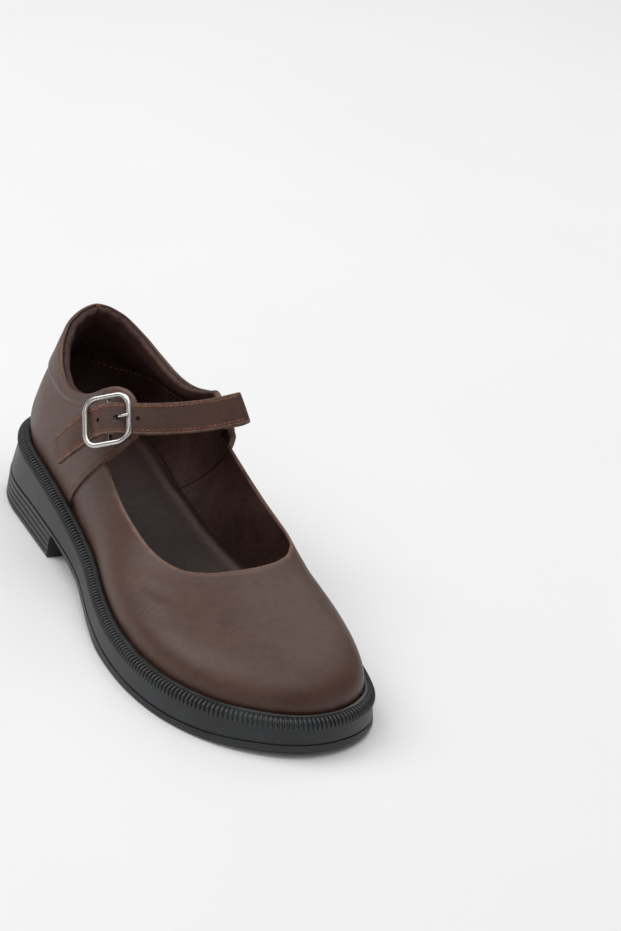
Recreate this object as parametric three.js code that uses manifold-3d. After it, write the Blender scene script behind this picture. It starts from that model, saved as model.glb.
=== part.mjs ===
// A woman's leather bar shoe for the right foot: hollow upper, moulded sole with a low
// block heel, insole, and an instep strap held by a buckle on the outer side.
// Sizes are in millimetres. u runs forward from the back of the heel to the toe, x is negative
// on the outer side of the foot, and z is up from the floor. In the scene the toe points to -Y.
import * as THREE from "three";
import { mergeVertices } from "three/addons/utils/BufferGeometryUtils.js";
import Module from "manifold-3d";

const wasm = await Module();
wasm.setup();

// Driving sizes of the sole
const LENGTH = 265;
const TOE_SHIFT = 4.5; // the toe's tip lies this far to the inner side of the middle line
const GAP = 0.3; // clearance between touching pieces
const WELT_LEDGE = 5.2; // from the sole's edge to the foot of the upper
const WELT_RISE = 2.4; // the welt's inner strip stands this high above the sole's shoulder
const PLATFORM_DROP = 1.6; // the seat of the upper lies this far below the welt's inner strip
const RIB_OVERHANG = 0.7; // the ribbed band stands proud of the side wall
const SIDE_FLARE = { heel: 2.0, ball: 1.0 }; // the sole widens towards the floor
const TOE_SPRING = 3.0;
const SPRING_START = 0.8;
const HEEL_BREAST = 84;
const SHANK_START = 0.68; // the forefoot lifts off the floor behind this share of the length
const SHANK_HEIGHT = 11.3;
const HEEL_GROOVES = { count: 4, first: 2.6, pitch: 2.6, depth: 0.7, width: 0.8, taper: 0.03 };
const SIDE_GROOVE = { depth: 0.7, half: 0.5 };

// The sole's edge to either side of the line x = 0, at shares of its length
const SOLE_WIDTHS = [
  { at: 0.03, outer: 23.8, inner: 24.7 },
  { at: 0.1, outer: 34.5, inner: 31.4 },
  { at: 0.2, outer: 36.8, inner: 32.7 },
  { at: 0.32, outer: 38.2, inner: 29.8 },
  { at: 0.45, outer: 40.7, inner: 30.4 },
  { at: 0.57, outer: 47.1, inner: 38.6 },
  { at: 0.68, outer: 50.7, inner: 47.3 },
  { at: 0.78, outer: 49.5, inner: 48.5 },
  { at: 0.87, outer: 42.7, inner: 44.9 },
  { at: 0.94, outer: 30.1, inner: 37.3 },
  { at: 0.98, outer: 15.4, inner: 24.7 },
];
// Heights of the sole's shoulder and of the groove along its side
const SOLE_HEIGHTS = [
  { at: 0, shoulder: 31.7, groove: 13 },
  { at: 0.15, shoulder: 28.2, groove: 13 },
  { at: 0.3, shoulder: 24.6, groove: 13 },
  { at: 0.45, shoulder: 19.2, groove: 10.2 },
  { at: 0.6, shoulder: 14.4, groove: 5.2 },
  { at: 0.75, shoulder: 13, groove: 3.4 },
  { at: 0.9, shoulder: 14, groove: 4 },
  { at: 1, shoulder: 15, groove: 6.4 },
];

// The upper's wall
const VAMP_WALL = 1.5;
const QUARTER_PROUD = 1.1; // the quarters lie over the vamp
const QUARTER_LINING = 1.9; // from the vamp's outer face to the quarters' inner face
const COLLAR_PAD = 2.2; // extra thickness of the padded collar, inwards
const COLLAR_BULGE = 0.7; // and outwards
const LIP = 0.45; // the top edge is rounded by this much
const OUTER_SEAM_TURN = 68.5; // where the quarter seams meet the sole, in degrees round from the heel
const INNER_SEAM_TURN = 66.7;
const VAMP_START = { outer: 0.64, inner: 0.8 }; // the vamp's edge leaves the seam at this share of it
const TUCK_TURN = 5; // the vamp runs on under the quarters by this turn

// The quarters, a row for each rib of the last: turn in degrees round from the heel's back,
// negative on the inner side; x, u, z of the top edge. A rib starts lean degrees outwards, drawn
// forwards by drift, with a handle of reach; it arrives at rise degrees above level with a handle
// of run that is pushed outwards by swell.
const QUARTERS = [
  { turn: -INNER_SEAM_TURN, x: 27.5, u: 112.5, z: 69, lean: 42, reach: 18, drift: 9, rise: 59, run: 13, swell: 4.2 },
  { turn: -62, x: 25.8, u: 107.5, z: 75.5, lean: 38, reach: 19, drift: 9, rise: 62, run: 16, swell: 4.5 },
  { turn: -56, x: 25.2, u: 100.5, z: 80, lean: 34, reach: 19, drift: 8, rise: 66, run: 18, swell: 4 },
  { turn: -50, x: 25.9, u: 93, z: 81.6, lean: 30, reach: 19, drift: 7, rise: 72, run: 18, swell: 3.5 },
  { turn: -43, x: 27.2, u: 82, z: 77, lean: 27, reach: 18, drift: 6, rise: 74, run: 16, swell: 3 },
  { turn: -36, x: 27.4, u: 67, z: 72, lean: 25, reach: 18, drift: 5, rise: 75, run: 14, swell: 2.5 },
  { turn: -29, x: 26.6, u: 53, z: 70.5, lean: 24, reach: 18, drift: 4, rise: 74, run: 14, swell: 2 },
  { turn: -22, x: 24, u: 38.5, z: 73.5, lean: 24, reach: 19, drift: 2, rise: 73, run: 15, swell: 1.5 },
  { turn: -15, x: 19, u: 27, z: 79.5, lean: 25, reach: 21, drift: 1, rise: 72, run: 17, swell: 1 },
  { turn: -7.5, x: 11, u: 18.6, z: 86.4, lean: 26, reach: 23, drift: 0, rise: 69, run: 21, swell: 0.5 },
  { turn: 0, x: 0, u: 15.5, z: 90, lean: 26, reach: 24, drift: 0, rise: 67, run: 24, swell: 0 },
  { turn: 7.5, x: -11, u: 18.6, z: 86.4, lean: 25, reach: 23, drift: 0, rise: 69, run: 21, swell: 0.5 },
  { turn: 15, x: -18.8, u: 27, z: 81, lean: 24, reach: 21, drift: 1, rise: 72, run: 17, swell: 1 },
  { turn: 22, x: -23.6, u: 38.5, z: 73.5, lean: 22, reach: 19, drift: 2, rise: 73, run: 15, swell: 1.5 },
  { turn: 29, x: -26.4, u: 53, z: 69.8, lean: 20, reach: 18, drift: 3, rise: 74, run: 14, swell: 2 },
  { turn: 36, x: -27.3, u: 67, z: 71.8, lean: 19, reach: 17, drift: 4, rise: 75, run: 14, swell: 2.5 },
  { turn: 43, x: -27.3, u: 81, z: 77.4, lean: 18, reach: 17, drift: 5, rise: 74, run: 16, swell: 3 },
  { turn: 50, x: -26.3, u: 94, z: 86.2, lean: 17, reach: 16, drift: 6, rise: 72, run: 19, swell: 3.3 },
  { turn: 56, x: -24.8, u: 100.6, z: 89.2, lean: 17, reach: 16, drift: 7, rise: 69, run: 20, swell: 3.8 },
  { turn: 60, x: -22.7, u: 105.7, z: 89.4, lean: 17, reach: 16, drift: 8, rise: 66, run: 20, swell: 4.5 },
  { turn: 63.5, x: -20.9, u: 109.9, z: 86.6, lean: 17, reach: 15, drift: 8.5, rise: 63, run: 20, swell: 5 },
  { turn: 66, x: -20.8, u: 114, z: 81.8, lean: 17, reach: 15, drift: 9, rise: 60, run: 20, swell: 5 },
  { turn: OUTER_SEAM_TURN, x: -22.4, u: 118.7, z: 75, lean: 17, reach: 15, drift: 9, rise: 58, run: 20, swell: 4.6 },
];
// The vamp, with the same columns, from the outer seam over the toe to the inner one. Its first and
// last ribs are cut from the quarters' seams.
const VAMP = [
  { turn: 88, x: -29.8, u: 133, z: 46.8, lean: 14, reach: 12, drift: 0, rise: 62, run: 10, swell: 0 },
  { turn: 104, x: -28.2, u: 158, z: 42.3, lean: 20, reach: 12, drift: 0, rise: 42, run: 12, swell: 0 },
  { turn: 122, x: -22.5, u: 174.5, z: 41, lean: 16, reach: 14, drift: 0, rise: 28, run: 16, swell: 0 },
  { turn: 142, x: -12.5, u: 182.6, z: 42.2, lean: 10, reach: 17, drift: 0, rise: 22, run: 24, swell: 0 },
  { turn: 162, x: -4, u: 185, z: 43.6, lean: 6, reach: 19, drift: 0, rise: 20, run: 30, swell: 0 },
  { turn: 180, x: 4, u: 185.2, z: 44.2, lean: 5, reach: 20, drift: 0, rise: 20, run: 32, swell: 0 },
  { turn: 198, x: 12, u: 184, z: 44.5, lean: 5, reach: 19, drift: 0, rise: 20, run: 30, swell: 0 },
  { turn: 218, x: 21, u: 180.6, z: 44.6, lean: 6, reach: 18, drift: 0, rise: 22, run: 24, swell: 0 },
  { turn: 238, x: 29.4, u: 173.5, z: 44.9, lean: 10, reach: 15, drift: 0, rise: 28, run: 16, swell: 0 },
  { turn: 256, x: 35, u: 160, z: 45.6, lean: 12, reach: 13, drift: 0, rise: 46, run: 12, swell: 0 },
  { turn: 272, x: 34.4, u: 135, z: 50, lean: 12, reach: 13, drift: 0, rise: 66, run: 12, swell: 0 },
];

// The insole
const INSOLE = { thickness: 2.6, edge: 0.4, arch: 3.2, dish: 0.8 };

// The strap's middle line from its free end on the outer side to the folded end on the inner side.
// Its outer face looks swing degrees round from the toe to the outer side, and lift degrees up.
const STRAP = { width: 13.8, thickness: 2.1, corner: 0.45, steps: 64 };
const STRAP_LINE = [
  { x: -45.2, u: 90.7, z: 55.3, swing: 86, lift: 18 },
  { x: -42.2, u: 98.4, z: 65, swing: 80, lift: 21 },
  { x: -38.2, u: 104.4, z: 73.4, swing: 66, lift: 28 },
  { x: -35.1, u: 112.8, z: 80.3, swing: 63, lift: 31 },
  { x: -30, u: 116.3, z: 82.2, swing: 62, lift: 31 },
  { x: -25.7, u: 117.5, z: 82.2, swing: 58, lift: 32 },
  { x: -18, u: 118.6, z: 82.2, swing: 20, lift: 38 },
  { x: -6, u: 118.6, z: 82, swing: 3, lift: 39 },
  { x: 8, u: 117.8, z: 82.2, swing: 0, lift: 39 },
  { x: 19, u: 116.2, z: 82.8, swing: -3, lift: 40 },
  { x: 27.6, u: 114, z: 83.2, swing: -8, lift: 41 },
];
const FOLD = { radius: 2.2, closes: 8, back: 10, nip: 2.45 };
// The tab that holds the folded end: it lies under the fold, bends down by reach and lift, and ends
// inside the inner ear at a turn and share of its rib
const TAB = {
  width: 9,
  thickness: 1.2,
  corner: 0.25,
  drop: 4.45,
  from: 13,
  bends: 8.6,
  reach: 2.5,
  turn: -60.5,
  share: 0.8,
  lift: 6,
  inside: 3,
};
// Round holes along the strap, and the slot that the prong comes through
const HOLES = { radius: 0.95, sides: 12, along: [31.9, 49] };
const PRONG_SLOT = { along: 40.5, length: 3.4, width: 2.1 };

// The buckle
const BUCKLE = {
  middle: { x: -34, u: 112.3, z: 79.6 },
  along: { x: -6.6, u: -6.7, z: -4.7 }, // direction from the prong's rest to the strap's free end
  across: { x: -1.4, u: 7.2, z: -7.6 },
  half: 10.4,
  corner: 5.5,
  wire: 1.2,
  barDrop: 2.6,
};
const PRONG = { radius: 0.7, clear: 0.25 };

const COLOURS = {
  upper: { color: 0x56403a, roughness: 0.55, metalness: 0 },
  strap: { color: 0x553d35, roughness: 0.5, metalness: 0 },
  insole: { color: 0x2e211e, roughness: 0.6, metalness: 0 },
  sole: { color: 0x232425, roughness: 0.6, metalness: 0 },
  metal: { color: 0xc9c6c2, roughness: 0.3, metalness: 1 },
};

const ROUND_STEPS = 96; // stations round the sole
const radians = THREE.MathUtils.degToRad;
const mix = THREE.MathUtils.lerp;
const smooth = THREE.MathUtils.smoothstep;
const UP = new THREE.Vector3(0, 0, 1);

const place = (x, u, z) => new THREE.Vector3(x, LENGTH / 2 - u, z);
const forwardOf = (point) => LENGTH / 2 - point.y;

// Value of one column of a table, on a smooth curve through its rows
function through(rows, by, key, at) {
  let i = 1;
  while (i < rows.length - 1 && rows[i][by] < at) i++;
  const chord = (k) => (rows[k][key] - rows[k - 1][key]) / (rows[k][by] - rows[k - 1][by]);
  const span = (k) => rows[k][by] - rows[k - 1][by];
  const slope = (k) => {
    if (k === 0) return chord(1);
    if (k === rows.length - 1) return chord(k);
    return (chord(k) * span(k + 1) + chord(k + 1) * span(k)) / (span(k) + span(k + 1));
  };
  const h = span(i);
  const t = (at - rows[i - 1][by]) / h;
  const s = 1 - t;
  return (
    rows[i - 1][key] * s * s * (1 + 2 * t) +
    slope(i - 1) * h * s * s * t +
    rows[i][key] * t * t * (1 + 2 * s) -
    slope(i) * h * t * t * s
  );
}

// The sole's edge in plan, as a width ratio round an ellipse-like angle
const turnAt = (share) => Math.acos(1 - 2 * share);
const middleAt = (share) => TOE_SHIFT * smooth(share, 0.6, 1);
const ratioOf = (row, width) => width / Math.sin(turnAt(row.at));
const RATIOS = [
  ...SOLE_WIDTHS.map((row) => ({ turn: turnAt(row.at), ratio: ratioOf(row, row.outer + middleAt(row.at)) })),
  ...[...SOLE_WIDTHS].reverse().map((row) => ({
    turn: 2 * Math.PI - turnAt(row.at),
    ratio: ratioOf(row, row.inner - middleAt(row.at)),
  })),
];
const wrapped = (row, turns) => ({ turn: row.turn + turns * 2 * Math.PI, ratio: row.ratio });
const RING = [
  ...RATIOS.slice(-3).map((row) => wrapped(row, -1)),
  ...RATIOS,
  ...RATIOS.slice(0, 3).map((row) => wrapped(row, 1)),
];
function edge(turn) {
  const angle = ((turn % (2 * Math.PI)) + 2 * Math.PI) % (2 * Math.PI);
  const share = (1 - Math.cos(angle)) / 2;
  const half = through(RING, "turn", "ratio", angle) * Math.sin(angle);
  return place(middleAt(share) - half, share * LENGTH, 0);
}
// Outward direction of the sole's edge in plan
function outward(turn) {
  const step = 1e-3;
  const run = edge(turn + step).sub(edge(turn - step)).normalize();
  return new THREE.Vector3(run.y, -run.x, 0);
}
const edgeOffset = (turn, out) => edge(turn).addScaledVector(outward(turn), out);
const shoulder = (u) => through(SOLE_HEIGHTS, "at", "shoulder", u / LENGTH);
const grooveHeight = (u) => through(SOLE_HEIGHTS, "at", "groove", u / LENGTH);
const spring = (u) => TOE_SPRING * Math.max(0, (u / LENGTH - SPRING_START) / (1 - SPRING_START)) ** 2;
const flare = (u) => mix(SIDE_FLARE.heel, SIDE_FLARE.ball, smooth(u / LENGTH, 0.25, 0.45));
const platform = (u) => shoulder(u) + WELT_RISE - PLATFORM_DROP;

// Closed triangle meshes from lists of points
class Skin {
  constructor() {
    this.corners = [];
  }
  triangle(a, b, c) {
    this.corners.push(a, b, c);
  }
  quad(a, b, c, d) {
    this.triangle(a, b, c);
    this.triangle(a, c, d);
  }
  // A wall between two loops, facing out when they run anticlockwise seen from the second
  wall(lower, upper) {
    lower.forEach((point, i) => {
      const j = (i + 1) % lower.length;
      this.quad(point, lower[j], upper[j], upper[i]);
    });
  }
  // A sheet across a loop that has one point at each end and the rest in facing pairs
  cover(loop, up, across = 1, lift = () => 0) {
    const half = loop.length / 2;
    const rung = (k) => {
      if (k === 0 || k === half) return [loop[k]];
      const [a, b] = [loop[k], loop[loop.length - k]];
      return Array.from({ length: across + 1 }, (_, j) => {
        if (j === 0) return a;
        if (j === across) return b;
        const point = a.clone().lerp(b, j / across);
        point.z += lift(forwardOf(point), j / across);
        return point;
      });
    };
    const face = (a, b, c) => (up ? this.triangle(a, b, c) : this.triangle(a, c, b));
    for (let k = 0; k < half; k++) {
      const [back, front] = [rung(k), rung(k + 1)];
      if (back.length === 1) {
        for (let j = 0; j < front.length - 1; j++) face(back[0], front[j], front[j + 1]);
      } else if (front.length === 1) {
        for (let j = 0; j < back.length - 1; j++) face(back[j + 1], back[j], front[0]);
      } else {
        for (let j = 0; j < across; j++) {
          face(back[j], front[j], front[j + 1]);
          face(back[j], front[j + 1], back[j + 1]);
        }
      }
    }
  }
  geometry() {
    const made = new THREE.BufferGeometry().setFromPoints(this.corners);
    return mergeVertices(made, 1e-4);
  }
}

function toSolid(geometry) {
  const bare = geometry.clone();
  bare.deleteAttribute("normal");
  bare.deleteAttribute("uv");
  const merged = mergeVertices(bare, 1e-4);
  return new wasm.Manifold(
    new wasm.Mesh({
      numProp: 3,
      vertProperties: merged.getAttribute("position").array,
      triVerts: new Uint32Array(merged.index.array),
    }),
  );
}
function toGeometry(solid) {
  const mesh = solid.getMesh();
  return new THREE.BufferGeometry()
    .setAttribute("position", new THREE.BufferAttribute(mesh.vertProperties, mesh.numProp))
    .setIndex(new THREE.BufferAttribute(mesh.triVerts, 1));
}

// A loop round the sole: out and height are functions of the turn and u
function soleLoop(out, height, steps = ROUND_STEPS) {
  return Array.from({ length: steps }, (_, i) => {
    const turn = (2 * Math.PI * i) / steps;
    const u = forwardOf(edge(turn));
    const point = edgeOffset(turn, typeof out === "number" ? out : out(u, turn));
    point.z = height(u);
    return point;
  });
}
function stack(loops) {
  const skin = new Skin();
  skin.cover(loops[0], false);
  loops.slice(1).forEach((loop, i) => skin.wall(loops[i], loop));
  skin.cover(loops.at(-1), true);
  return toSolid(skin.geometry());
}

// A block cut square across the shoe from an outline in the side view
function sideBlock(outline, reach = 90) {
  const shape = new THREE.Shape(outline.map(([u, z]) => new THREE.Vector2(u, z)));
  const block = new THREE.ExtrudeGeometry(shape, { depth: 2 * reach, bevelEnabled: false });
  const turned = new THREE.Matrix4().set(0, 0, -1, reach, -1, 0, 0, LENGTH / 2, 0, 1, 0, 0, 0, 0, 0, 1);
  return toSolid(block.applyMatrix4(turned));
}

function buildSole() {
  const { depth, half } = SIDE_GROOVE;
  const wall = (share) => (u) => mix(flare(u), -RIB_OVERHANG, share);
  const inset = (share) => (u) => mix(flare(u), -RIB_OVERHANG, share) - depth;
  const body = stack([
    soleLoop((u) => flare(u) - 0.8, (u) => spring(u)),
    soleLoop(wall(0), (u) => spring(u) + 0.8),
    soleLoop(wall(0.15), (u) => grooveHeight(u) - half),
    soleLoop(inset(0.18), (u) => grooveHeight(u) - half + 0.15),
    soleLoop(inset(0.22), (u) => grooveHeight(u) + half - 0.15),
    soleLoop(wall(0.25), (u) => grooveHeight(u) + half),
    soleLoop(wall(1), (u) => shoulder(u) - 2.6),
    soleLoop(0, (u) => shoulder(u) - 2.2),
    soleLoop(0.1, (u) => shoulder(u) - 0.5),
    soleLoop(-0.7, (u) => shoulder(u) + 0.6),
    soleLoop(-2.5, (u) => shoulder(u) + 1.5),
    soleLoop(-2.8, (u) => shoulder(u) + 1.3),
    soleLoop(-3.2, (u) => shoulder(u) + WELT_RISE - 0.2),
    soleLoop(-4.6, (u) => shoulder(u) + WELT_RISE),
    soleLoop(-WELT_LEDGE, (u) => shoulder(u) + WELT_RISE - 0.4),
    soleLoop(-WELT_LEDGE, platform),
  ]);
  // The hollow under the shank, with a small fillet at the heel's breast
  const low = -5;
  const arch = [
    [HEEL_BREAST, low],
    [HEEL_BREAST - 0.6, SHANK_HEIGHT - 2],
    [HEEL_BREAST + 0.4, SHANK_HEIGHT - 0.5],
    [HEEL_BREAST + 2.4, SHANK_HEIGHT],
    [0.38 * LENGTH, SHANK_HEIGHT - 1.6],
    [0.45 * LENGTH, SHANK_HEIGHT - 3.8],
    [0.52 * LENGTH, SHANK_HEIGHT - 6.6],
    [0.6 * LENGTH, 1.5],
    [0.64 * LENGTH, 0.5],
    [SHANK_START * LENGTH, -0.02],
    [SHANK_START * LENGTH, low],
  ];
  let sole = body.subtract(sideBlock(arch));
  // Fine grooves that give the heel a stacked look
  const heelOnly = sideBlock([
    [-10, 0.5],
    [HEEL_BREAST - 1, 0.5],
    [HEEL_BREAST - 1, SHANK_HEIGHT + 2],
    [-10, SHANK_HEIGHT + 2],
  ]);
  for (let i = 0; i < HEEL_GROOVES.count; i++) {
    const z = HEEL_GROOVES.first + i * HEEL_GROOVES.pitch;
    const band = (out) =>
      stack([z - HEEL_GROOVES.width / 2, z + HEEL_GROOVES.width / 2].map((h) => soleLoop(out, () => h)));
    const ring = band(() => 6).subtract(band((u) => flare(u) - HEEL_GROOVES.taper * z - HEEL_GROOVES.depth));
    sole = sole.subtract(ring.intersect(heelOnly));
  }
  return toGeometry(sole);
}

// One rib of the upper from its row: foot, two handles and top
const quarterness = (turn) => {
  const degrees = THREE.MathUtils.radToDeg(turn);
  const wound = degrees > 180 ? degrees - 360 : degrees;
  const seam = wound > 0 ? OUTER_SEAM_TURN : INNER_SEAM_TURN;
  return 1 - smooth(Math.abs(wound), seam + 0.5, seam + 7);
};
const seat = (turn) => WELT_LEDGE + GAP + QUARTER_PROUD * quarterness(turn);
function foot(turn) {
  const point = edgeOffset(turn, -seat(turn));
  point.z = shoulder(forwardOf(edge(turn))) + WELT_RISE;
  return point;
}
const KEYS = ["ax", "ay", "az", "bx", "by", "bz", "x", "y", "z"];
function handles(row) {
  const start = foot(radians(row.turn));
  const top = place(row.x, row.u, row.z);
  const lean = radians(row.lean);
  const a = outward(radians(row.turn)).multiplyScalar(row.reach * Math.sin(lean));
  a.add(new THREE.Vector3(0, -row.drift, row.reach * Math.cos(lean)));
  const level = top.clone().sub(start).setZ(0).normalize();
  const rise = radians(row.rise);
  const b = level.multiplyScalar(-row.run * Math.cos(rise)).addScaledVector(UP, -row.run * Math.sin(rise));
  b.addScaledVector(outward(radians(row.turn)), row.swell);
  return { turn: row.turn, ax: a.x, ay: a.y, az: a.z, bx: b.x, by: b.y, bz: b.z, x: top.x, y: top.y, z: top.z };
}
function bezier(points, t) {
  const s = 1 - t;
  return new THREE.Vector3()
    .addScaledVector(points[0], s * s * s)
    .addScaledVector(points[1], 3 * s * s * t)
    .addScaledVector(points[2], 3 * s * t * t)
    .addScaledVector(points[3], t * t * t);
}
function ribPoints(rows, turn) {
  const value = Object.fromEntries(KEYS.map((key) => [key, through(rows, "turn", key, turn)]));
  const start = foot(radians(turn));
  const top = new THREE.Vector3(value.x, value.y, value.z);
  return [
    start,
    start.clone().add(new THREE.Vector3(value.ax, value.ay, value.az)),
    top.clone().add(new THREE.Vector3(value.bx, value.by, value.bz)),
    top,
  ];
}
// The lower share of a rib as a row of handles of its own
function cutRib(points, share, turn) {
  const [p, q, r, s] = points;
  const pq = p.clone().lerp(q, share);
  const qr = q.clone().lerp(r, share);
  const rs = r.clone().lerp(s, share);
  const pqr = pq.clone().lerp(qr, share);
  const qrs = qr.clone().lerp(rs, share);
  const top = pqr.clone().lerp(qrs, share);
  const a = pq.sub(p);
  const b = pqr.sub(top);
  return { turn, ax: a.x, ay: a.y, az: a.z, bx: b.x, by: b.y, bz: b.z, x: top.x, y: top.y, z: top.z };
}
const QUARTER_RIBS = QUARTERS.map(handles);
const VAMP_RIBS = [
  cutRib(ribPoints(QUARTER_RIBS, OUTER_SEAM_TURN), VAMP_START.outer, OUTER_SEAM_TURN),
  ...VAMP.map(handles),
  cutRib(ribPoints(QUARTER_RIBS, -INNER_SEAM_TURN), VAMP_START.inner, 360 - INNER_SEAM_TURN),
];
const quarterAt = (turn, t) => bezier(ribPoints(QUARTER_RIBS, turn), t);
const vampAt = (turn, t) => bezier(ribPoints(VAMP_RIBS, turn), t);

// A wall on a surface of ribs, between an outer and an inner offset from it. It stands on a short
// upright skirt that goes down inside the welt.
function shell(columns, levels) {
  const step = 1e-3;
  const grid = columns.map((column) =>
    levels.map((t) => {
      const { surface, turn, top, side } = column;
      const share = Math.max(0, t) * top;
      const here = surface(turn, share);
      const along = surface(turn + side * step * 57.3, share).sub(here).multiplyScalar(side);
      const below = Math.max(0, share - step);
      const rise = surface(turn, below + step).sub(surface(turn, below));
      const normal = along.cross(rise);
      if (t <= 0) normal.setZ(0);
      if (t < 0) here.z -= PLATFORM_DROP - GAP;
      normal.normalize();
      const [out, inn] = column.offsets(turn, t);
      return [here.clone().addScaledVector(normal, out), here.clone().addScaledVector(normal, -inn)];
    }),
  );
  const skin = new Skin();
  const last = levels.length - 1;
  for (let i = 0; i < columns.length - 1; i++) {
    const [a, b] = [grid[i], grid[i + 1]];
    for (let j = 0; j < last; j++) {
      skin.quad(a[j][0], b[j][0], b[j + 1][0], a[j + 1][0]);
      skin.quad(a[j][1], a[j + 1][1], b[j + 1][1], b[j][1]);
    }
    skin.quad(a[0][0], a[0][1], b[0][1], b[0][0]);
    skin.quad(a[last][0], b[last][0], b[last][1], a[last][1]);
  }
  const close = (column, flip) => {
    for (let j = 0; j < last; j++) {
      const corners = [column[j][0], column[j + 1][0], column[j + 1][1], column[j][1]];
      skin.quad(...(flip ? corners.reverse() : corners));
    }
  };
  close(grid[0], false);
  close(grid.at(-1), true);
  return toSolid(skin.geometry());
}
const levelsOf = (count) => [-1, ...Array.from({ length: count }, (_, i) => (i / count) * 0.985), 0.985, 1];
const lip = (t) => (t > 0.99 ? LIP : 0);

function collar(turn, t) {
  const round = 1 - smooth(Math.abs(turn), 34, 47);
  return round * smooth(t, 0.5, 0.68) * (1 - 0.6 * smooth(t, 0.86, 1));
}
function quarterOffsets(turn, t) {
  const pad = collar(turn, t);
  return [QUARTER_PROUD + COLLAR_BULGE * pad - lip(t), QUARTER_LINING + COLLAR_PAD * pad - lip(t)];
}
const vampOffsets = (turn, t) => [-lip(t) * 0.8, VAMP_WALL - lip(t) * 0.8];

function buildUpper() {
  const quarterTurns = [];
  for (let turn = -INNER_SEAM_TURN; turn < OUTER_SEAM_TURN - 1; turn += 3.1) quarterTurns.push(turn);
  quarterTurns.push(OUTER_SEAM_TURN);
  const quarter = shell(
    quarterTurns.map((turn) => ({
      surface: quarterAt,
      turn,
      top: 1,
      side: turn > 0 ? -1 : 1,
      offsets: quarterOffsets,
    })),
    levelsOf(11),
  );
  const tucked = (turn, top, side) => ({ surface: quarterAt, turn, top, side, offsets: vampOffsets });
  const vampTurns = [];
  const vampEnd = 360 - INNER_SEAM_TURN;
  for (let turn = OUTER_SEAM_TURN + 0.01; turn < vampEnd - 1; turn += 4) vampTurns.push(turn);
  vampTurns.push(vampEnd - 0.01);
  const vamp = shell(
    [
      tucked(OUTER_SEAM_TURN - TUCK_TURN, VAMP_START.outer * 0.96, -1),
      tucked(OUTER_SEAM_TURN - 0.3, VAMP_START.outer, -1),
      ...vampTurns.map((turn) => ({
        surface: vampAt,
        turn,
        top: 1,
        side: turn < 180 ? 1 : -1,
        offsets: vampOffsets,
      })),
      tucked(-INNER_SEAM_TURN + 0.3, VAMP_START.inner, 1),
      tucked(-INNER_SEAM_TURN + TUCK_TURN, VAMP_START.inner * 0.96, 1),
    ],
    levelsOf(10),
  );
  return toGeometry(quarter.add(vamp));
}

function buildInsole() {
  const inset = (u, turn) => {
    const lining = mix(VAMP_WALL, QUARTER_LINING, quarterness(turn));
    return -(seat(turn) + lining + INSOLE.edge);
  };
  const loops = [
    soleLoop(inset, (u) => platform(u) + GAP),
    soleLoop(inset, (u) => platform(u) + GAP + INSOLE.thickness - 0.6),
    soleLoop((u, turn) => inset(u, turn) - 0.7, (u) => platform(u) + GAP + INSOLE.thickness),
  ];
  const skin = new Skin();
  skin.cover(loops[0], false);
  skin.wall(loops[0], loops[1]);
  skin.wall(loops[1], loops[2]);
  const lift = (u, side) => {
    const arch = INSOLE.arch * Math.exp(-(((u / LENGTH - 0.4) / 0.17) ** 2)) * smooth(side, 0.3, 0.85);
    const dish = INSOLE.dish * Math.sin(Math.PI * side);
    return arch * (1 - smooth(side, 0.93, 1)) - dish;
  };
  skin.cover(loops[2], true, 6, lift);
  return skin.geometry();
}

// The strap's middle line, sampled evenly: position, width direction and outward direction
function strapFrames() {
  const rows = STRAP_LINE.map((row) => ({ ...row, s: 0 }));
  for (let i = 1; i < rows.length; i++) {
    const [a, b] = [rows[i - 1], rows[i]];
    b.s = a.s + Math.hypot(b.x - a.x, b.u - a.u, b.z - a.z);
  }
  const frame = (s) => {
    const get = (key, at) => through(rows, "s", key, at);
    const point = (at) => place(get("x", at), get("u", at), get("z", at));
    const run = point(s + 0.05).sub(point(s - 0.05)).normalize();
    const [swing, lift] = [radians(get("swing", s)), radians(get("lift", s))];
    const level = Math.cos(lift);
    const out = new THREE.Vector3(-level * Math.sin(swing), -level * Math.cos(swing), Math.sin(lift));
    out.addScaledVector(run, -out.dot(run)).normalize();
    return { at: point(s), across: run.clone().cross(out), out, run };
  };
  return { frame, length: rows.at(-1).s };
}
function strapPath() {
  const { frame, length } = strapFrames();
  const path = Array.from({ length: STRAP.steps + 1 }, (_, i) => frame((length * i) / STRAP.steps));
  // The fold: half a turn inwards, then back beneath the strap
  const end = path.at(-1);
  const fold = 7;
  for (let i = 1; i <= fold; i++) {
    const angle = (Math.PI * i) / fold;
    const at = end.at
      .clone()
      .addScaledVector(end.run, FOLD.radius * Math.sin(angle))
      .addScaledVector(end.out, -FOLD.radius * (1 - Math.cos(angle)));
    const out = end.out.clone().multiplyScalar(Math.cos(angle)).addScaledVector(end.run, Math.sin(angle));
    path.push({ at, across: end.across, out });
  }
  const backSteps = 6;
  for (let i = 1; i <= backSteps; i++) {
    const back = (FOLD.back * i) / backSteps;
    const above = frame(length - back);
    const depth = mix(2 * FOLD.radius, FOLD.nip, smooth(back, 0, FOLD.closes));
    path.push({
      at: above.at.clone().addScaledVector(above.out, -depth),
      across: above.across,
      out: above.out.clone().negate(),
    });
  }
  return path;
}
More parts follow.
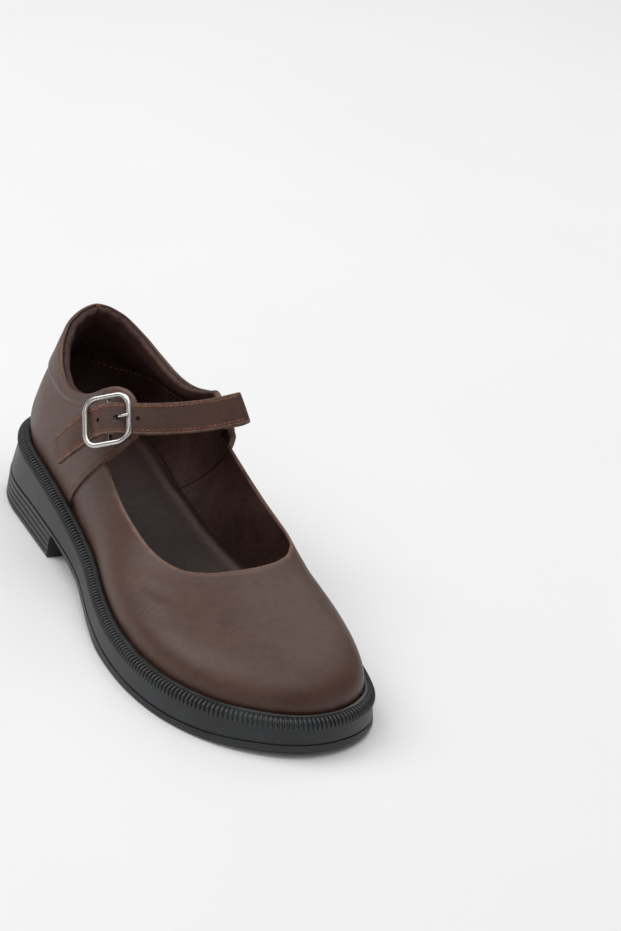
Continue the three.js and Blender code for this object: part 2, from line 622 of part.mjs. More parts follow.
// A ribbon with softened corners swept along a path of frames
function ribbon(path, width, thickness, corner) {
  const [w, t] = [width / 2, thickness / 2];
  const section = [
    [-w, -t + corner],
    [-w + corner, -t],
    [w - corner, -t],
    [w, -t + corner],
    [w, t - corner],
    [w - corner, t],
    [-w + corner, t],
    [-w, t - corner],
  ];
  const rings = path.map(({ at, across, out }) =>
    section.map(([a, b]) => at.clone().addScaledVector(across, a).addScaledVector(out, b)),
  );
  return loft(rings);
}
function loft(rings) {
  const skin = new Skin();
  rings.slice(1).forEach((ring, i) => skin.wall(ring, rings[i]));
  const fan = (ring, flip) => {
    for (let i = 1; i < ring.length - 1; i++) {
      if (flip) skin.triangle(ring[0], ring[i + 1], ring[i]);
      else skin.triangle(ring[0], ring[i], ring[i + 1]);
    }
  };
  fan(rings[0], false);
  fan(rings.at(-1), true);
  return outwardFacing(skin.geometry());
}
// Turns a closed mesh right side out where its section ran the other way
function outwardFacing(geometry) {
  const solid = toSolid(geometry);
  if (solid.volume() > 0) return geometry;
  const order = geometry.index.array;
  for (let i = 0; i < order.length; i += 3) [order[i + 1], order[i + 2]] = [order[i + 2], order[i + 1]];
  return geometry;
}
function rod(from, to, radius, sides) {
  const length = from.distanceTo(to);
  const bar = new THREE.CylinderGeometry(radius, radius, length, sides);
  const turn = new THREE.Quaternion().setFromUnitVectors(
    new THREE.Vector3(0, 1, 0),
    to.clone().sub(from).normalize(),
  );
  bar.applyQuaternion(turn);
  const middle = from.clone().lerp(to, 0.5);
  return bar.translate(middle.x, middle.y, middle.z);
}

function buildStrap() {
  let strap = toSolid(ribbon(strapPath(), STRAP.width, STRAP.thickness, STRAP.corner));
  const { frame } = strapFrames();
  for (const s of HOLES.along) {
    const { at, out } = frame(s);
    const reach = 2.2;
    const [a, b] = [reach, -reach].map((d) => at.clone().addScaledVector(out, d));
    strap = strap.subtract(toSolid(rod(a, b, HOLES.radius, HOLES.sides)));
  }
  const { at, across, out, run } = frame(PRONG_SLOT.along);
  const slot = new THREE.BoxGeometry(PRONG_SLOT.length, PRONG_SLOT.width, 5);
  slot.applyMatrix4(new THREE.Matrix4().makeBasis(run, across.clone().negate(), out).setPosition(at));
  strap = strap.subtract(toSolid(slot));
  return toGeometry(strap);
}

// The tab's path, from under the strap's fold to the inner face of the ear
function tabPath() {
  const { frame, length } = strapFrames();
  const flatSteps = 5;
  const bentSteps = 14;
  const flat = Array.from({ length: flatSteps + 1 }, (_, i) => {
    return frame(length - mix(TAB.from, TAB.bends, i / flatSteps));
  });
  const { run, across } = flat.at(-1);
  const ear = (turn, share) => quarterAt(TAB.turn + turn, TAB.share + share);
  const along = ear(-1, 0).sub(ear(1, 0)).normalize();
  const up = ear(0, 0.02).sub(ear(0, -0.02)).normalize();
  const inward = along.clone().cross(up).normalize();
  const points = flat.map(({ at, out }) => at.clone().addScaledVector(out, -TAB.drop));
  const start = points.at(-1);
  const end = ear(0, 0).addScaledVector(inward, TAB.inside);
  const bend = [
    start,
    start.clone().addScaledVector(run, TAB.reach),
    end.clone().addScaledVector(up, TAB.lift),
    end,
  ];
  for (let i = 1; i <= bentSteps; i++) points.push(bezier(bend, i / bentSteps));
  if (along.dot(across) < 0) along.negate();
  return points.map((at, i) => {
    const before = points[Math.max(0, i - 1)];
    const after = points[Math.min(points.length - 1, i + 1)];
    const tangent = after.clone().sub(before).normalize();
    const width = across.clone().lerp(along, Math.max(0, i - flatSteps) / bentSteps);
    width.addScaledVector(tangent, -width.dot(tangent)).normalize();
    return { at, across: width, out: tangent.clone().cross(width) };
  });
}
const buildTab = () => ribbon(tabPath(), TAB.width, TAB.thickness, TAB.corner);

// The buckle's own axes
function buckleAxes() {
  const direction = (v) => new THREE.Vector3(v.x, -v.u, v.z).normalize();
  const along = direction(BUCKLE.along);
  const across = direction(BUCKLE.across);
  across.addScaledVector(along, -across.dot(along)).normalize();
  const out = along.clone().cross(across).normalize();
  const { x, u, z } = BUCKLE.middle;
  return { along, across, out, middle: place(x, u, z) };
}
const buckle = buckleAxes();
const onBuckle = (a, b, c) =>
  buckle.middle
    .clone()
    .addScaledVector(buckle.along, a)
    .addScaledVector(buckle.across, b)
    .addScaledVector(buckle.out, c);

function buildFrame() {
  const { half, corner, wire, barDrop } = BUCKLE;
  const path = [];
  const arcSteps = 6;
  for (let quarter = 0; quarter < 4; quarter++) {
    for (let i = 0; i <= arcSteps; i++) {
      const angle = (Math.PI / 2) * (quarter + i / arcSteps);
      const signs = [
        [1, 1],
        [-1, 1],
        [-1, -1],
        [1, -1],
      ][quarter];
      const reach = half - corner;
      path.push([signs[0] * reach + corner * Math.cos(angle), signs[1] * reach + corner * Math.sin(angle)]);
    }
  }
  const sides = 10;
  const rings = path.map(([a, b], i) => {
    const before = path.at(i - 1);
    const after = path[(i + 1) % path.length];
    const tangent = new THREE.Vector2(after[0] - before[0], after[1] - before[1]).normalize();
    return Array.from({ length: sides }, (_, k) => {
      const angle = (2 * Math.PI * k) / sides;
      const side = wire * Math.cos(angle);
      return onBuckle(a + tangent.y * side, b - tangent.x * side, wire * Math.sin(angle));
    });
  });
  const skin = new Skin();
  rings.forEach((ring, i) => skin.wall(ring, rings[(i + 1) % rings.length]));
  const ring = toSolid(outwardFacing(skin.geometry()));
  const end = half - 0.2;
  const bent = end - 2.2;
  const barLine = [
    onBuckle(0, -end, 0),
    onBuckle(0, -bent, -barDrop),
    onBuckle(0, bent, -barDrop),
    onBuckle(0, end, 0),
  ];
  const bar = toSolid(loftRod(barLine, wire * 0.75, 8));
  return toGeometry(ring.add(bar));
}
// A round bar bent through a few points
function loftRod(points, radius, sides) {
  const rings = points.map((point, i) => {
    const before = points[Math.max(0, i - 1)];
    const after = points[Math.min(points.length - 1, i + 1)];
    const run = after.clone().sub(before).normalize();
    const side = buckle.along.clone().addScaledVector(run, -buckle.along.dot(run));
    if (side.length() < 0.3) side.copy(buckle.across).addScaledVector(run, -buckle.across.dot(run));
    side.normalize();
    const up = run.clone().cross(side);
    return Array.from({ length: sides }, (_, k) => {
      const angle = (2 * Math.PI * k) / sides;
      return point
        .clone()
        .addScaledVector(side, radius * Math.cos(angle))
        .addScaledVector(up, radius * Math.sin(angle));
    });
  });
  return loft(rings);
}

// The prong: a loop round the middle bar, then a tongue through the strap to the far bar
function buildProng() {
  const { radius, clear } = PRONG;
  const bend = BUCKLE.wire * 0.75 + clear + radius;
  const drop = -BUCKLE.barDrop;
  const points = [];
  for (let i = 0; i <= 8; i++) {
    const angle = radians(mix(250, 0, i / 8) + 90);
    points.push([bend * Math.cos(angle), drop + bend * Math.sin(angle)]);
  }
  const rest = BUCKLE.wire + clear + radius;
  points.push([-3.4, -0.9], [-4.8, -0.2], [-6.4, 1.3], [-7.6, rest - 0.2], [-9, rest]);
  points.push([-BUCKLE.half - 1.2, rest]);
  const sides = 8;
  const rings = points.map(([a, c], i) => {
    const before = points[Math.max(0, i - 1)];
    const after = points[Math.min(points.length - 1, i + 1)];
    const run = new THREE.Vector2(after[0] - before[0], after[1] - before[1]).normalize();
    return Array.from({ length: sides }, (_, k) => {
      const angle = (2 * Math.PI * k) / sides;
      const lift = radius * Math.cos(angle);
      return onBuckle(a - run.y * lift, radius * Math.sin(angle), c + run.x * lift);
    });
  });
  return loft(rings);
}

const part = new THREE.Group();
function add(name, geometry, look) {
  const mesh = new THREE.Mesh(geometry, new THREE.MeshStandardMaterial(look));
  mesh.name = name;
  part.add(mesh);
}
add("sole_unit", buildSole(), COLOURS.sole);
add("upper", buildUpper(), COLOURS.upper);
add("insole", buildInsole(), COLOURS.insole);
add("instep_strap", buildStrap(), COLOURS.strap);
add("strap_tab", buildTab(), COLOURS.insole);
add("buckle_frame", buildFrame(), COLOURS.metal);
add("buckle_prong", buildProng(), COLOURS.metal);

// The origin stands on the floor under the middle of the shoe's box
const box = new THREE.Box3().setFromObject(part);
const centre = box.getCenter(new THREE.Vector3());
part.position.set(-centre.x, -centre.y, 0);

export default part;
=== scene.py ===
"""Dresses a woman's leather bar shoe for the right foot, in the photograph's light and view.

Sizes in the tables are millimetres on the shoe's own plan: x is negative on the outer side of the
foot, u runs forward from the heel's back to the toe, and z is up from the floor. Meshes are made
from them in metres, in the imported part's frame, where the toe points to -Y.
"""

from __future__ import annotations

import logging
import math
from dataclasses import dataclass, field
from enum import Enum
from typing import Callable, Sequence

import bmesh
import bpy
import numpy as np
from mathutils import Matrix, Vector


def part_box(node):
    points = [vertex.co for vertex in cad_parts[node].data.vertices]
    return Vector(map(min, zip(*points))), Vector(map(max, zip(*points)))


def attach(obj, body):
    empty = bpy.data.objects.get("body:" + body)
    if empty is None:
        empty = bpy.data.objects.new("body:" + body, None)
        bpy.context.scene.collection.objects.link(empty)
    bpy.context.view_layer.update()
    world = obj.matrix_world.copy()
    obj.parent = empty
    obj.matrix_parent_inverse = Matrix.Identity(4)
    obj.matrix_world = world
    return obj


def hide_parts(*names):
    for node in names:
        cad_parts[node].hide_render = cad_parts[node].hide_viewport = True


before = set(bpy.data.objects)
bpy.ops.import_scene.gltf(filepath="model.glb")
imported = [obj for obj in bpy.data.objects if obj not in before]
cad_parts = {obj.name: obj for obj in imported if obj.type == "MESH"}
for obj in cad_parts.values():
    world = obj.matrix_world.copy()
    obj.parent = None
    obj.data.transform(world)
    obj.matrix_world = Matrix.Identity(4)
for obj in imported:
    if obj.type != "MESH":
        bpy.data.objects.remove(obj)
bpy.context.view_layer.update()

LOG = logging.getLogger("bar_shoe")

Array = np.ndarray
Table = Sequence[Sequence[float]]
Surface = Callable[[Array, Array], Array]
Paint = tuple[float, float, float]
Socket = bpy.types.NodeSocket

# The sole, in millimetres; a START is a share of the length
LENGTH = 265.0
TOE_SHIFT = 4.5
GAP = 0.3
WELT_LEDGE = 5.2
WELT_RISE = 2.4
PLATFORM_DROP = 1.6
HEEL_BREAST = 84.0
SHANK_HEIGHT = 11.3
SHANK_START = 0.68
TOE_SPRING = 3.0
SPRING_START = 0.8
# The leather's thickness in millimetres, its seams' turns, and the share of the seams' ribs that
# the vamp takes
VAMP_WALL = 1.5
QUARTER_PROUD = 1.1
QUARTER_LINING = 1.9
COLLAR_PAD = 2.2
OUTER_SEAM = 68.5
INNER_SEAM = 66.7
VAMP_START = {"outer": 0.64, "inner": 0.8}

# share of length, sole edge on the outer side, sole edge on the inner side
SOLE_WIDTHS: Table = (
    (0.03, 23.8, 24.7),
    (0.1, 34.5, 31.4),
    (0.2, 36.8, 32.7),
    (0.32, 38.2, 29.8),
    (0.45, 40.7, 30.4),
    (0.57, 47.1, 38.6),
    (0.68, 50.7, 47.3),
    (0.78, 49.5, 48.5),
    (0.87, 42.7, 44.9),
    (0.94, 30.1, 37.3),
    (0.98, 15.4, 24.7),
)
# share of length, shoulder height, height of the groove along the side
SOLE_HEIGHTS: Table = (
    (0, 31.7, 13),
    (0.15, 28.2, 13),
    (0.3, 24.6, 13),
    (0.45, 19.2, 10.2),
    (0.6, 14.4, 5.2),
    (0.75, 13, 3.4),
    (0.9, 14, 4),
    (1, 15, 6.4),
)
# The welt's profile, from its band up and in: distance out from the edge, height over the shoulder
WELT_PROFILE: Table = (
    (-0.75, -2.6),
    (-0.7, -0.6),
    (-1.25, 0.05),
    (-2.75, 0.85),
    (-3.0, 1.55),
    (-3.3, 2.2),
    (-3.7, WELT_RISE),
    (-4.5, WELT_RISE),
    (-WELT_LEDGE, 1.9),
)
# The quarters: turn, top edge x, u, z, lean, reach, drift, rise, run, swell
QUARTER_ROWS: Table = (
    (-INNER_SEAM, 27.5, 112.5, 69, 42, 18, 9, 59, 13, 4.2),
    (-62, 25.8, 107.5, 75.5, 38, 19, 9, 62, 16, 4.5),
    (-56, 25.2, 100.5, 80, 34, 19, 8, 66, 18, 4),
    (-50, 25.9, 93, 81.6, 30, 19, 7, 72, 18, 3.5),
    (-43, 27.2, 82, 77, 27, 18, 6, 74, 16, 3),
    (-36, 27.4, 67, 72, 25, 18, 5, 75, 14, 2.5),
    (-29, 26.6, 53, 70.5, 24, 18, 4, 74, 14, 2),
    (-22, 24, 38.5, 73.5, 24, 19, 2, 73, 15, 1.5),
    (-15, 19, 27, 79.5, 25, 21, 1, 72, 17, 1),
    (-7.5, 11, 18.6, 86.4, 26, 23, 0, 69, 21, 0.5),
    (0, 0, 15.5, 90, 26, 24, 0, 67, 24, 0),
    (7.5, -11, 18.6, 86.4, 25, 23, 0, 69, 21, 0.5),
    (15, -18.8, 27, 81, 24, 21, 1, 72, 17, 1),
    (22, -23.6, 38.5, 73.5, 22, 19, 2, 73, 15, 1.5),
    (29, -26.4, 53, 69.8, 20, 18, 3, 74, 14, 2),
    (36, -27.3, 67, 71.8, 19, 17, 4, 75, 14, 2.5),
    (43, -27.3, 81, 77.4, 18, 17, 5, 74, 16, 3),
    (50, -26.3, 94, 86.2, 17, 16, 6, 72, 19, 3.3),
    (56, -24.8, 100.6, 89.2, 17, 16, 7, 69, 20, 3.8),
    (60, -22.7, 105.7, 89.4, 17, 16, 8, 66, 20, 4.5),
    (63.5, -20.9, 109.9, 86.6, 17, 15, 8.5, 63, 20, 5),
    (66, -20.8, 114, 81.8, 17, 15, 9, 60, 20, 5),
    (OUTER_SEAM, -22.4, 118.7, 75, 17, 15, 9, 58, 20, 4.6),
)
# The vamp, from the outer seam over the toe to the inner one
VAMP_ROWS: Table = (
    (88, -29.8, 133, 46.8, 14, 12, 0, 62, 10, 0),
    (104, -28.2, 158, 42.3, 20, 12, 0, 42, 12, 0),
    (122, -22.5, 174.5, 41, 16, 14, 0, 28, 16, 0),
    (142, -12.5, 182.6, 42.2, 10, 17, 0, 22, 24, 0),
    (162, -4, 185, 43.6, 6, 19, 0, 20, 30, 0),
    (180, 4, 185.2, 44.2, 5, 20, 0, 20, 32, 0),
    (198, 12, 184, 44.5, 5, 19, 0, 20, 30, 0),
    (218, 21, 180.6, 44.6, 6, 18, 0, 22, 24, 0),
    (238, 29.4, 173.5, 44.9, 10, 15, 0, 28, 16, 0),
    (256, 35, 160, 45.6, 12, 13, 0, 46, 12, 0),
    (272, 34.4, 135, 50, 12, 13, 0, 66, 12, 0),
)
# The strap's middle line from its free end: x, u, z, and the way its outer face looks
STRAP_ROWS: Table = (
    (-45.2, 90.7, 55.3, 86, 18),
    (-42.2, 98.4, 65, 80, 21),
    (-38.2, 104.4, 73.4, 66, 28),
    (-35.1, 112.8, 80.3, 63, 31),
    (-30, 116.3, 82.2, 62, 31),
    (-25.7, 117.5, 82.2, 58, 32),
    (-18, 118.6, 82.2, 20, 38),
    (-6, 118.6, 82, 3, 39),
    (8, 117.8, 82.2, 0, 39),
    (19, 116.2, 82.8, -3, 40),
    (27.6, 114, 83.2, -8, 41),
)


# Shape of the shoe


def smooth(value: Array | float, low: float, high: float) -> Array:
    """Smooth step from 0 at low to 1 at high."""
    share = np.clip((np.asarray(value, float) - low) / (high - low), 0.0, 1.0)
    return share * share * (3 - 2 * share)


def mix(low: Array | float, high: Array | float, share: Array | float) -> Array:
    """Straight blend from low to high."""
    return low + (high - low) * np.asarray(share, float)


def unit(vectors: Array) -> Array:
    """The vectors at length one."""
    size = np.linalg.norm(vectors, axis=-1, keepdims=True)
    return vectors / np.maximum(size, 1e-9)


def place(x: Array | float, u: Array | float, z: Array | float) -> Array:
    """Points on the shoe's plan as x, y, z in millimetres."""
    x, u, z = np.broadcast_arrays(*(np.asarray(v, float) for v in (x, u, z)))
    return np.stack([x, LENGTH / 2 - u, z], axis=-1)


def bezier(hooks: Sequence[Array], t: Array) -> Array:
    """Points at shares t of a curve with four hooks."""
    s = 1 - t
    start, low, high, end = hooks
    return start * s**3 + low * 3 * s * s * t + high * 3 * s * t * t + end * t**3


class Track:
    """A smooth curve through the rows of a table."""

    def __init__(self, rows: Table | Array) -> None:
        """Reads rows of a position followed by values."""
        table = np.asarray(rows, float)
        self.at = table[:, 0]
        self.values = table[:, 1:]
        span = np.diff(self.at)[:, None]
        chord = np.diff(self.values, axis=0) / span
        middle = (chord[:-1] * span[1:] + chord[1:] * span[:-1]) / (span[:-1] + span[1:])
        self.slopes = np.vstack([chord[:1], middle, chord[-1:]])

    def __call__(self, at: Array | float) -> Array:
        """Values at one or many positions.

        Args:
            at: The positions along the table.

        Returns:
            The values, with one more axis than the positions.
        """
        at = np.asarray(at, float)
        i = np.clip(np.searchsorted(self.at, at), 1, len(self.at) - 1)
        span = self.at[i] - self.at[i - 1]
        t = ((at - self.at[i - 1]) / span)[..., None]
        s = 1 - t
        span = span[..., None]
        return (
            self.values[i - 1] * s * s * (1 + 2 * t)
            + self.slopes[i - 1] * span * s * s * t
            + self.values[i] * t * t * (1 + 2 * s)
            - self.slopes[i] * span * t * t * s
        )


class Plan:
    """The sole's outline and heights.

    A turn runs in degrees from the heel's back, along the outer side first.
    """

    def __init__(self) -> None:
        """Turns the width table into ratios round the outline."""
        rows = np.asarray(SOLE_WIDTHS, float)
        turn = np.arccos(1 - 2 * rows[:, 0])
        middle = TOE_SHIFT * smooth(rows[:, 0], 0.6, 1)
        outer = np.stack([turn, (rows[:, 1] + middle) / np.sin(turn)], axis=-1)
        inner = np.stack([2 * np.pi - turn, (rows[:, 2] - middle) / np.sin(turn)], axis=-1)
        ring = np.vstack([outer, inner[::-1]])
        before, after = ring[-3:].copy(), ring[:3].copy()
        before[:, 0] -= 2 * np.pi
        after[:, 0] += 2 * np.pi
        self.ratio = Track(np.vstack([before, ring, after]))
        self.heights = Track(SOLE_HEIGHTS)

    def edge(self, turn: Array | float) -> Array:
        """Points of the outline, at height 0."""
        angle = np.radians(turn) % (2 * np.pi)
        share = (1 - np.cos(angle)) / 2
        half = self.ratio(angle)[..., 0] * np.sin(angle)
        return place(TOE_SHIFT * smooth(share, 0.6, 1) - half, share * LENGTH, 0)

    def outward(self, turn: Array | float) -> Array:
        """Level directions square to the outline."""
        step = 0.06
        run = unit(self.edge(np.asarray(turn) + step) - self.edge(np.asarray(turn) - step))
        return np.stack([run[..., 1], -run[..., 0], np.zeros_like(run[..., 0])], axis=-1)

    def offset(self, turn: Array | float, out: Array | float) -> Array:
        """Points moved outwards from the outline."""
        return self.edge(turn) + self.outward(turn) * np.asarray(out, float)[..., None]

    def forward(self, turn: Array | float) -> Array:
        """How far forward of the heel's back the outline is."""
        return LENGTH * (1 - np.cos(np.radians(turn))) / 2

    def shoulder(self, u: Array | float) -> Array:
        """Height of the welt's outer edge."""
        return self.heights(np.asarray(u, float) / LENGTH)[..., 0]

    def groove(self, u: Array | float) -> Array:
        """Height of the groove along the side."""
        return self.heights(np.asarray(u, float) / LENGTH)[..., 1]

    def spring(self, u: Array | float) -> Array:
        """How far the toe lifts off the floor."""
        share = (np.asarray(u, float) / LENGTH - SPRING_START) / (1 - SPRING_START)
        return TOE_SPRING * np.maximum(0, share) ** 2

    def platform(self, u: Array | float) -> Array:
        """Height of the seat inside the welt."""
        return self.shoulder(u) + WELT_RISE - PLATFORM_DROP


def quarterness(turn: Array | float) -> Array:
    """1 where the quarters stand on the welt, 0 where the vamp does."""
    wound = (np.asarray(turn, float) + 180) % 360 - 180
    seam = np.where(wound > 0, OUTER_SEAM, INNER_SEAM)
    share = np.clip((np.abs(wound) - seam - 0.5) / 6.5, 0, 1)
    return 1 - share * share * (3 - 2 * share)


class Form:
    """The leather's two surfaces, quarters and vamp, as ribs drawn up from the welt."""

    def __init__(self, plan: Plan) -> None:
        """Makes handles from the rows of both tables."""
        self.plan = plan
        self.quarter_ribs = Track([self._handles(row) for row in QUARTER_ROWS])
        outer = self._cut(OUTER_SEAM, VAMP_START["outer"], OUTER_SEAM)
        inner = self._cut(-INNER_SEAM, VAMP_START["inner"], 360 - INNER_SEAM)
        self.vamp_ribs = Track([outer, *(self._handles(row) for row in VAMP_ROWS), inner])

    def foot(self, turn: Array | float) -> Array:
        """Where the leather meets the welt's inner strip."""
        seat = WELT_LEDGE + GAP + QUARTER_PROUD * quarterness(turn)
        point = self.plan.offset(turn, -seat)
        point[..., 2] = self.plan.shoulder(self.plan.forward(turn)) + WELT_RISE
        return point

    def _handles(self, row: Sequence[float]) -> list[float]:
        """A rib's two handles and top, from a row of a table."""
        turn, x, u, z, lean, reach, drift, rise, run, swell = row
        start = self.foot(turn)
        top = place(x, u, z)
        out = self.plan.outward(turn)
        lean, rise = math.radians(lean), math.radians(rise)
        low = out * reach * math.sin(lean) + np.array([0, -drift, reach * math.cos(lean)])
        level = unit((top - start) * np.array([1, 1, 0]))
        high = -level * run * math.cos(rise) - np.array([0, 0, run * math.sin(rise)]) + out * swell
        return [turn, *low, *high, *top]

    def _points(self, ribs: Track, turn: Array | float) -> Array:
        """The four points of the ribs' curves, as an array ending in (4, 3)."""
        value = ribs(turn)
        start = self.foot(turn)
        top = value[..., 6:9]
        return np.stack([start, start + value[..., 0:3], top + value[..., 3:6], top], axis=-2)

    def _cut(self, turn: float, share: float, label: float) -> list[float]:
        """The lower share of a quarter's rib, as a row of handles."""
        p = self._points(self.quarter_ribs, turn)
        q = p[:-1] + (p[1:] - p[:-1]) * share
        r = q[:-1] + (q[1:] - q[:-1]) * share
        top = r[0] + (r[1] - r[0]) * share
        return [label, *(q[0] - p[0]), *(r[0] - top), *top]

    def _along(self, ribs: Track, turn: Array, t: Array) -> Array:
        """Points at shares t of the ribs at the turns."""
        turn, t = np.broadcast_arrays(np.asarray(turn, float), np.asarray(t, float))
        points = self._points(ribs, turn)
        return bezier([points[..., i, :] for i in range(4)], t[..., None])

    def quarter(self, turn: Array | float, t: Array | float) -> Array:
        """Points on the quarters."""
        return self._along(self.quarter_ribs, turn, t)

    def vamp(self, turn: Array | float, t: Array | float) -> Array:
        """Points on the vamp."""
        return self._along(self.vamp_ribs, turn, t)


def normals(surface: Surface, turn: Array | float, t: Array | float) -> Array:
    """Outward directions of a surface of ribs.

    Args:
        surface: The quarters or the vamp.
        turn: The turns.
        t: The shares up the ribs.

    Returns:
        Unit vectors, level at the foot.
    """
    turn, t = np.broadcast_arrays(np.asarray(turn, float), np.asarray(t, float))
    step, rise = 0.2, 4e-3
    along = surface(turn + step, t) - surface(turn - step, t)
    low = np.clip(t - rise, 0, 1)
    high = np.clip(t + rise, 0, 1)
    up = surface(turn, high) - surface(turn, low)
    found = np.cross(along, up)
    found[..., 2] *= np.where(t <= 0, 0.0, 1.0)
    return unit(found)


# Making meshes


class Skin:
    """Points, faces and values of one piece, in millimetres on the shoe's plan."""

    def __init__(self) -> None:
        """Starts empty."""
        self.points: list[Array] = []
        self.faces: list[list[int]] = []
        self.looks: list[int] = []
        self.wear_and_highlight: list[Array] = []
        self.count = 0

    def add(self, points: Array, wear_and_highlight: Array | float = 0.0) -> Array:
        """Adds a grid of points.

        Args:
            points: Any shape that ends in 3.
            wear_and_highlight: How far each point turns to the lighter colour, from 0 to 1: scuffing
                at edges, a painted highlight on the insole's ridge.

        Returns:
            The points' numbers, in the grid's shape.
        """
        shape = points.shape[:-1]
        total = int(np.prod(shape))
        self.points.append(points.reshape(-1, 3))
        self.wear_and_highlight.append(np.broadcast_to(wear_and_highlight, shape).reshape(-1))
        numbers = np.arange(self.count, self.count + total).reshape(shape)
        self.count += total
        return numbers

    def net(
        self,
        grid: Array,
        look: Array | int = 0,
        round_rows: bool = False,
        round_columns: bool = False,
    ) -> None:
        """Lays quads over a grid of point numbers.

        Args:
            grid: Point numbers in rows and columns.
            look: One material number, or one for each gap between columns.
            round_rows: Joins the last row to the first.
            round_columns: Joins the last column to the first.
        """
        if round_rows:
            grid = np.vstack([grid, grid[:1]])
        if round_columns:
            grid = np.hstack([grid, grid[:, :1]])
        quads = np.stack([grid[:-1, :-1], grid[1:, :-1], grid[1:, 1:], grid[:-1, 1:]], axis=-1)
        self.faces.extend(quads.reshape(-1, 4).tolist())
        looks = np.broadcast_to(np.asarray(look), quads.shape[:2])
        self.looks.extend(looks.reshape(-1).tolist())

    def close(self, ring: Array, look: int = 0) -> None:
        """Closes a ring of point numbers with one face."""
        self.faces.append(ring.tolist())
        self.looks.append(look)

    def rod(self, sections: Array) -> None:
        """Adds a closed rod with these sections."""
        grid = self.add(sections)
        self.net(grid, round_columns=True)
        self.cap(grid)

    def cap(self, grid: Array, look: int = 0) -> None:
        """Closes both ends of a grid of sections with one face each."""
        self.close(grid[0], look)
        self.close(grid[-1], look)

    def rung(self, ring: Array, look: int = 0) -> None:
        """Closes a ring of facing pairs with quads across it."""
        half = len(ring) // 2
        left, right = ring[1:half], ring[: half : -1]
        self.net(np.stack([left, right], axis=1), look)
        for end, a, b in ((ring[0], left[0], right[0]), (ring[half], left[-1], right[-1])):
            self.close(np.array([end, a, b]), look)


class Bench:
    """The shoe's form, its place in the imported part's frame, and the making of meshes there."""

    def __init__(self) -> None:
        """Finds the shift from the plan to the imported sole."""
        self.plan = Plan()
        self.form = Form(self.plan)
        turn = np.arange(96) * 3.75
        loop = self.plan.offset(turn, flare(self.plan.forward(turn)))
        low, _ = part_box("sole_unit")
        self.shift = np.array([low.x, low.y, 0.0]) * 1000 - np.array([*loop.min(axis=0)[:2], 0.0])

    def metres(self, points: Array) -> Array:
        """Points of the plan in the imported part's metres."""
        return (points + self.shift) / 1000

    def make(
        self,
        name: str,
        skin: Skin,
        looks: Sequence[Look],
        sharp: float = 40.0,
    ) -> bpy.types.Object:
        """Makes a closed mesh that faces outwards.

        Args:
            name: The piece's name.
            skin: Its points and faces.
            looks: Its finishes, in the order of the skin's numbers.
            sharp: Edges that turn by more than this many degrees stay sharp.

        Returns:
            The object, at the origin.
        """
        mesh = bpy.data.meshes.new(name)
        mesh.from_pydata(self.metres(np.concatenate(skin.points)).tolist(), [], skin.faces)
        for look in looks:
            mesh.materials.append(look.material())
        mesh.polygons.foreach_set("material_index", skin.looks)
        wear_and_highlight = mesh.attributes.new("wear_and_highlight", "FLOAT", "POINT")
        wear_and_highlight.data.foreach_set("value", np.concatenate(skin.wear_and_highlight).astype(np.float32))
        self.tidy(mesh, sharp)
        piece = bpy.data.objects.new(name, mesh)
        bpy.context.scene.collection.objects.link(piece)
        return piece

    @staticmethod
    def tidy(mesh: bpy.types.Mesh, sharp: float) -> None:
        """Merges doubled points, turns faces outwards and shades smoothly."""
        work = bmesh.new()
        work.from_mesh(mesh)
        bmesh.ops.remove_doubles(work, verts=work.verts, dist=1e-7)
        bmesh.ops.recalc_face_normals(work, faces=work.faces)
        work.to_mesh(mesh)
        work.free()
        mesh.polygons.foreach_set("use_smooth", [True] * len(mesh.polygons))
        mesh.set_sharp_from_angle(angle=math.radians(sharp))

    def cut(
        self,
        piece: bpy.types.Object,
        tools: Sequence[bpy.types.Object],
        sharp: float,
    ) -> bpy.types.Object:
        """Cuts tools out of a piece, and throws the tools away.

        Args:
            piece: The piece to cut.
            tools: Closed meshes to take away from it.
            sharp: Edges that turn by more than this many degrees stay sharp.

        Returns:
            The piece, with a plain mesh.
        """
        for tool in tools:
            change = piece.modifiers.new("cut", "BOOLEAN")
            change.operation = "DIFFERENCE"
            change.solver = "EXACT"
            change.object = tool
        mesh = plain_mesh(piece)
        for tool in tools:
            bpy.data.objects.remove(tool)
        self.tidy(mesh, sharp)
        return piece


def plain_mesh(piece: bpy.types.Object) -> bpy.types.Mesh:
    """Gives a piece the mesh that its modifiers make, and takes them off."""
    view = bpy.context.evaluated_depsgraph_get()
    mesh = bpy.data.meshes.new_from_object(piece.evaluated_get(view))
    mesh.name = piece.name
    piece.modifiers.clear()
    piece.data = mesh
    return mesh


def tube(
    skin: Skin,
    path: Array,
    radius: Array | float,
    sides: int,
    side: Array,
    ring: bool = False,
) -> None:
    """Adds a round rod along a path.

    Args:
        skin: The skin that takes it.
        path: Points of its middle line.
        radius: Its radius, or one for each point.
        sides: Points round it.
        side: A direction that is never along the path.
        ring: Whether the path is closed.
    """
    if ring:
        run = unit(np.roll(path, -1, axis=0) - np.roll(path, 1, axis=0))
    else:
        run = unit(np.gradient(path, axis=0))
    left = unit(side - run * (run @ side)[:, None])
    up = np.cross(run, left)
    angle = np.arange(sides) * 2 * np.pi / sides
    size = np.broadcast_to(radius, len(path))[:, None, None]
    rings = path[:, None] + size * (
        left[:, None] * np.cos(angle)[None, :, None] + up[:, None] * np.sin(angle)[None, :, None]
    )
    if ring:
        skin.net(skin.add(rings), round_rows=True, round_columns=True)
    else:
        skin.rod(rings)


def flare(u: Array | float) -> Array:
    """How far the sole's foot stands out from its edge."""
    return mix(2.0, 1.0, smooth(np.asarray(u) / LENGTH, 0.25, 0.45))


# Finishes


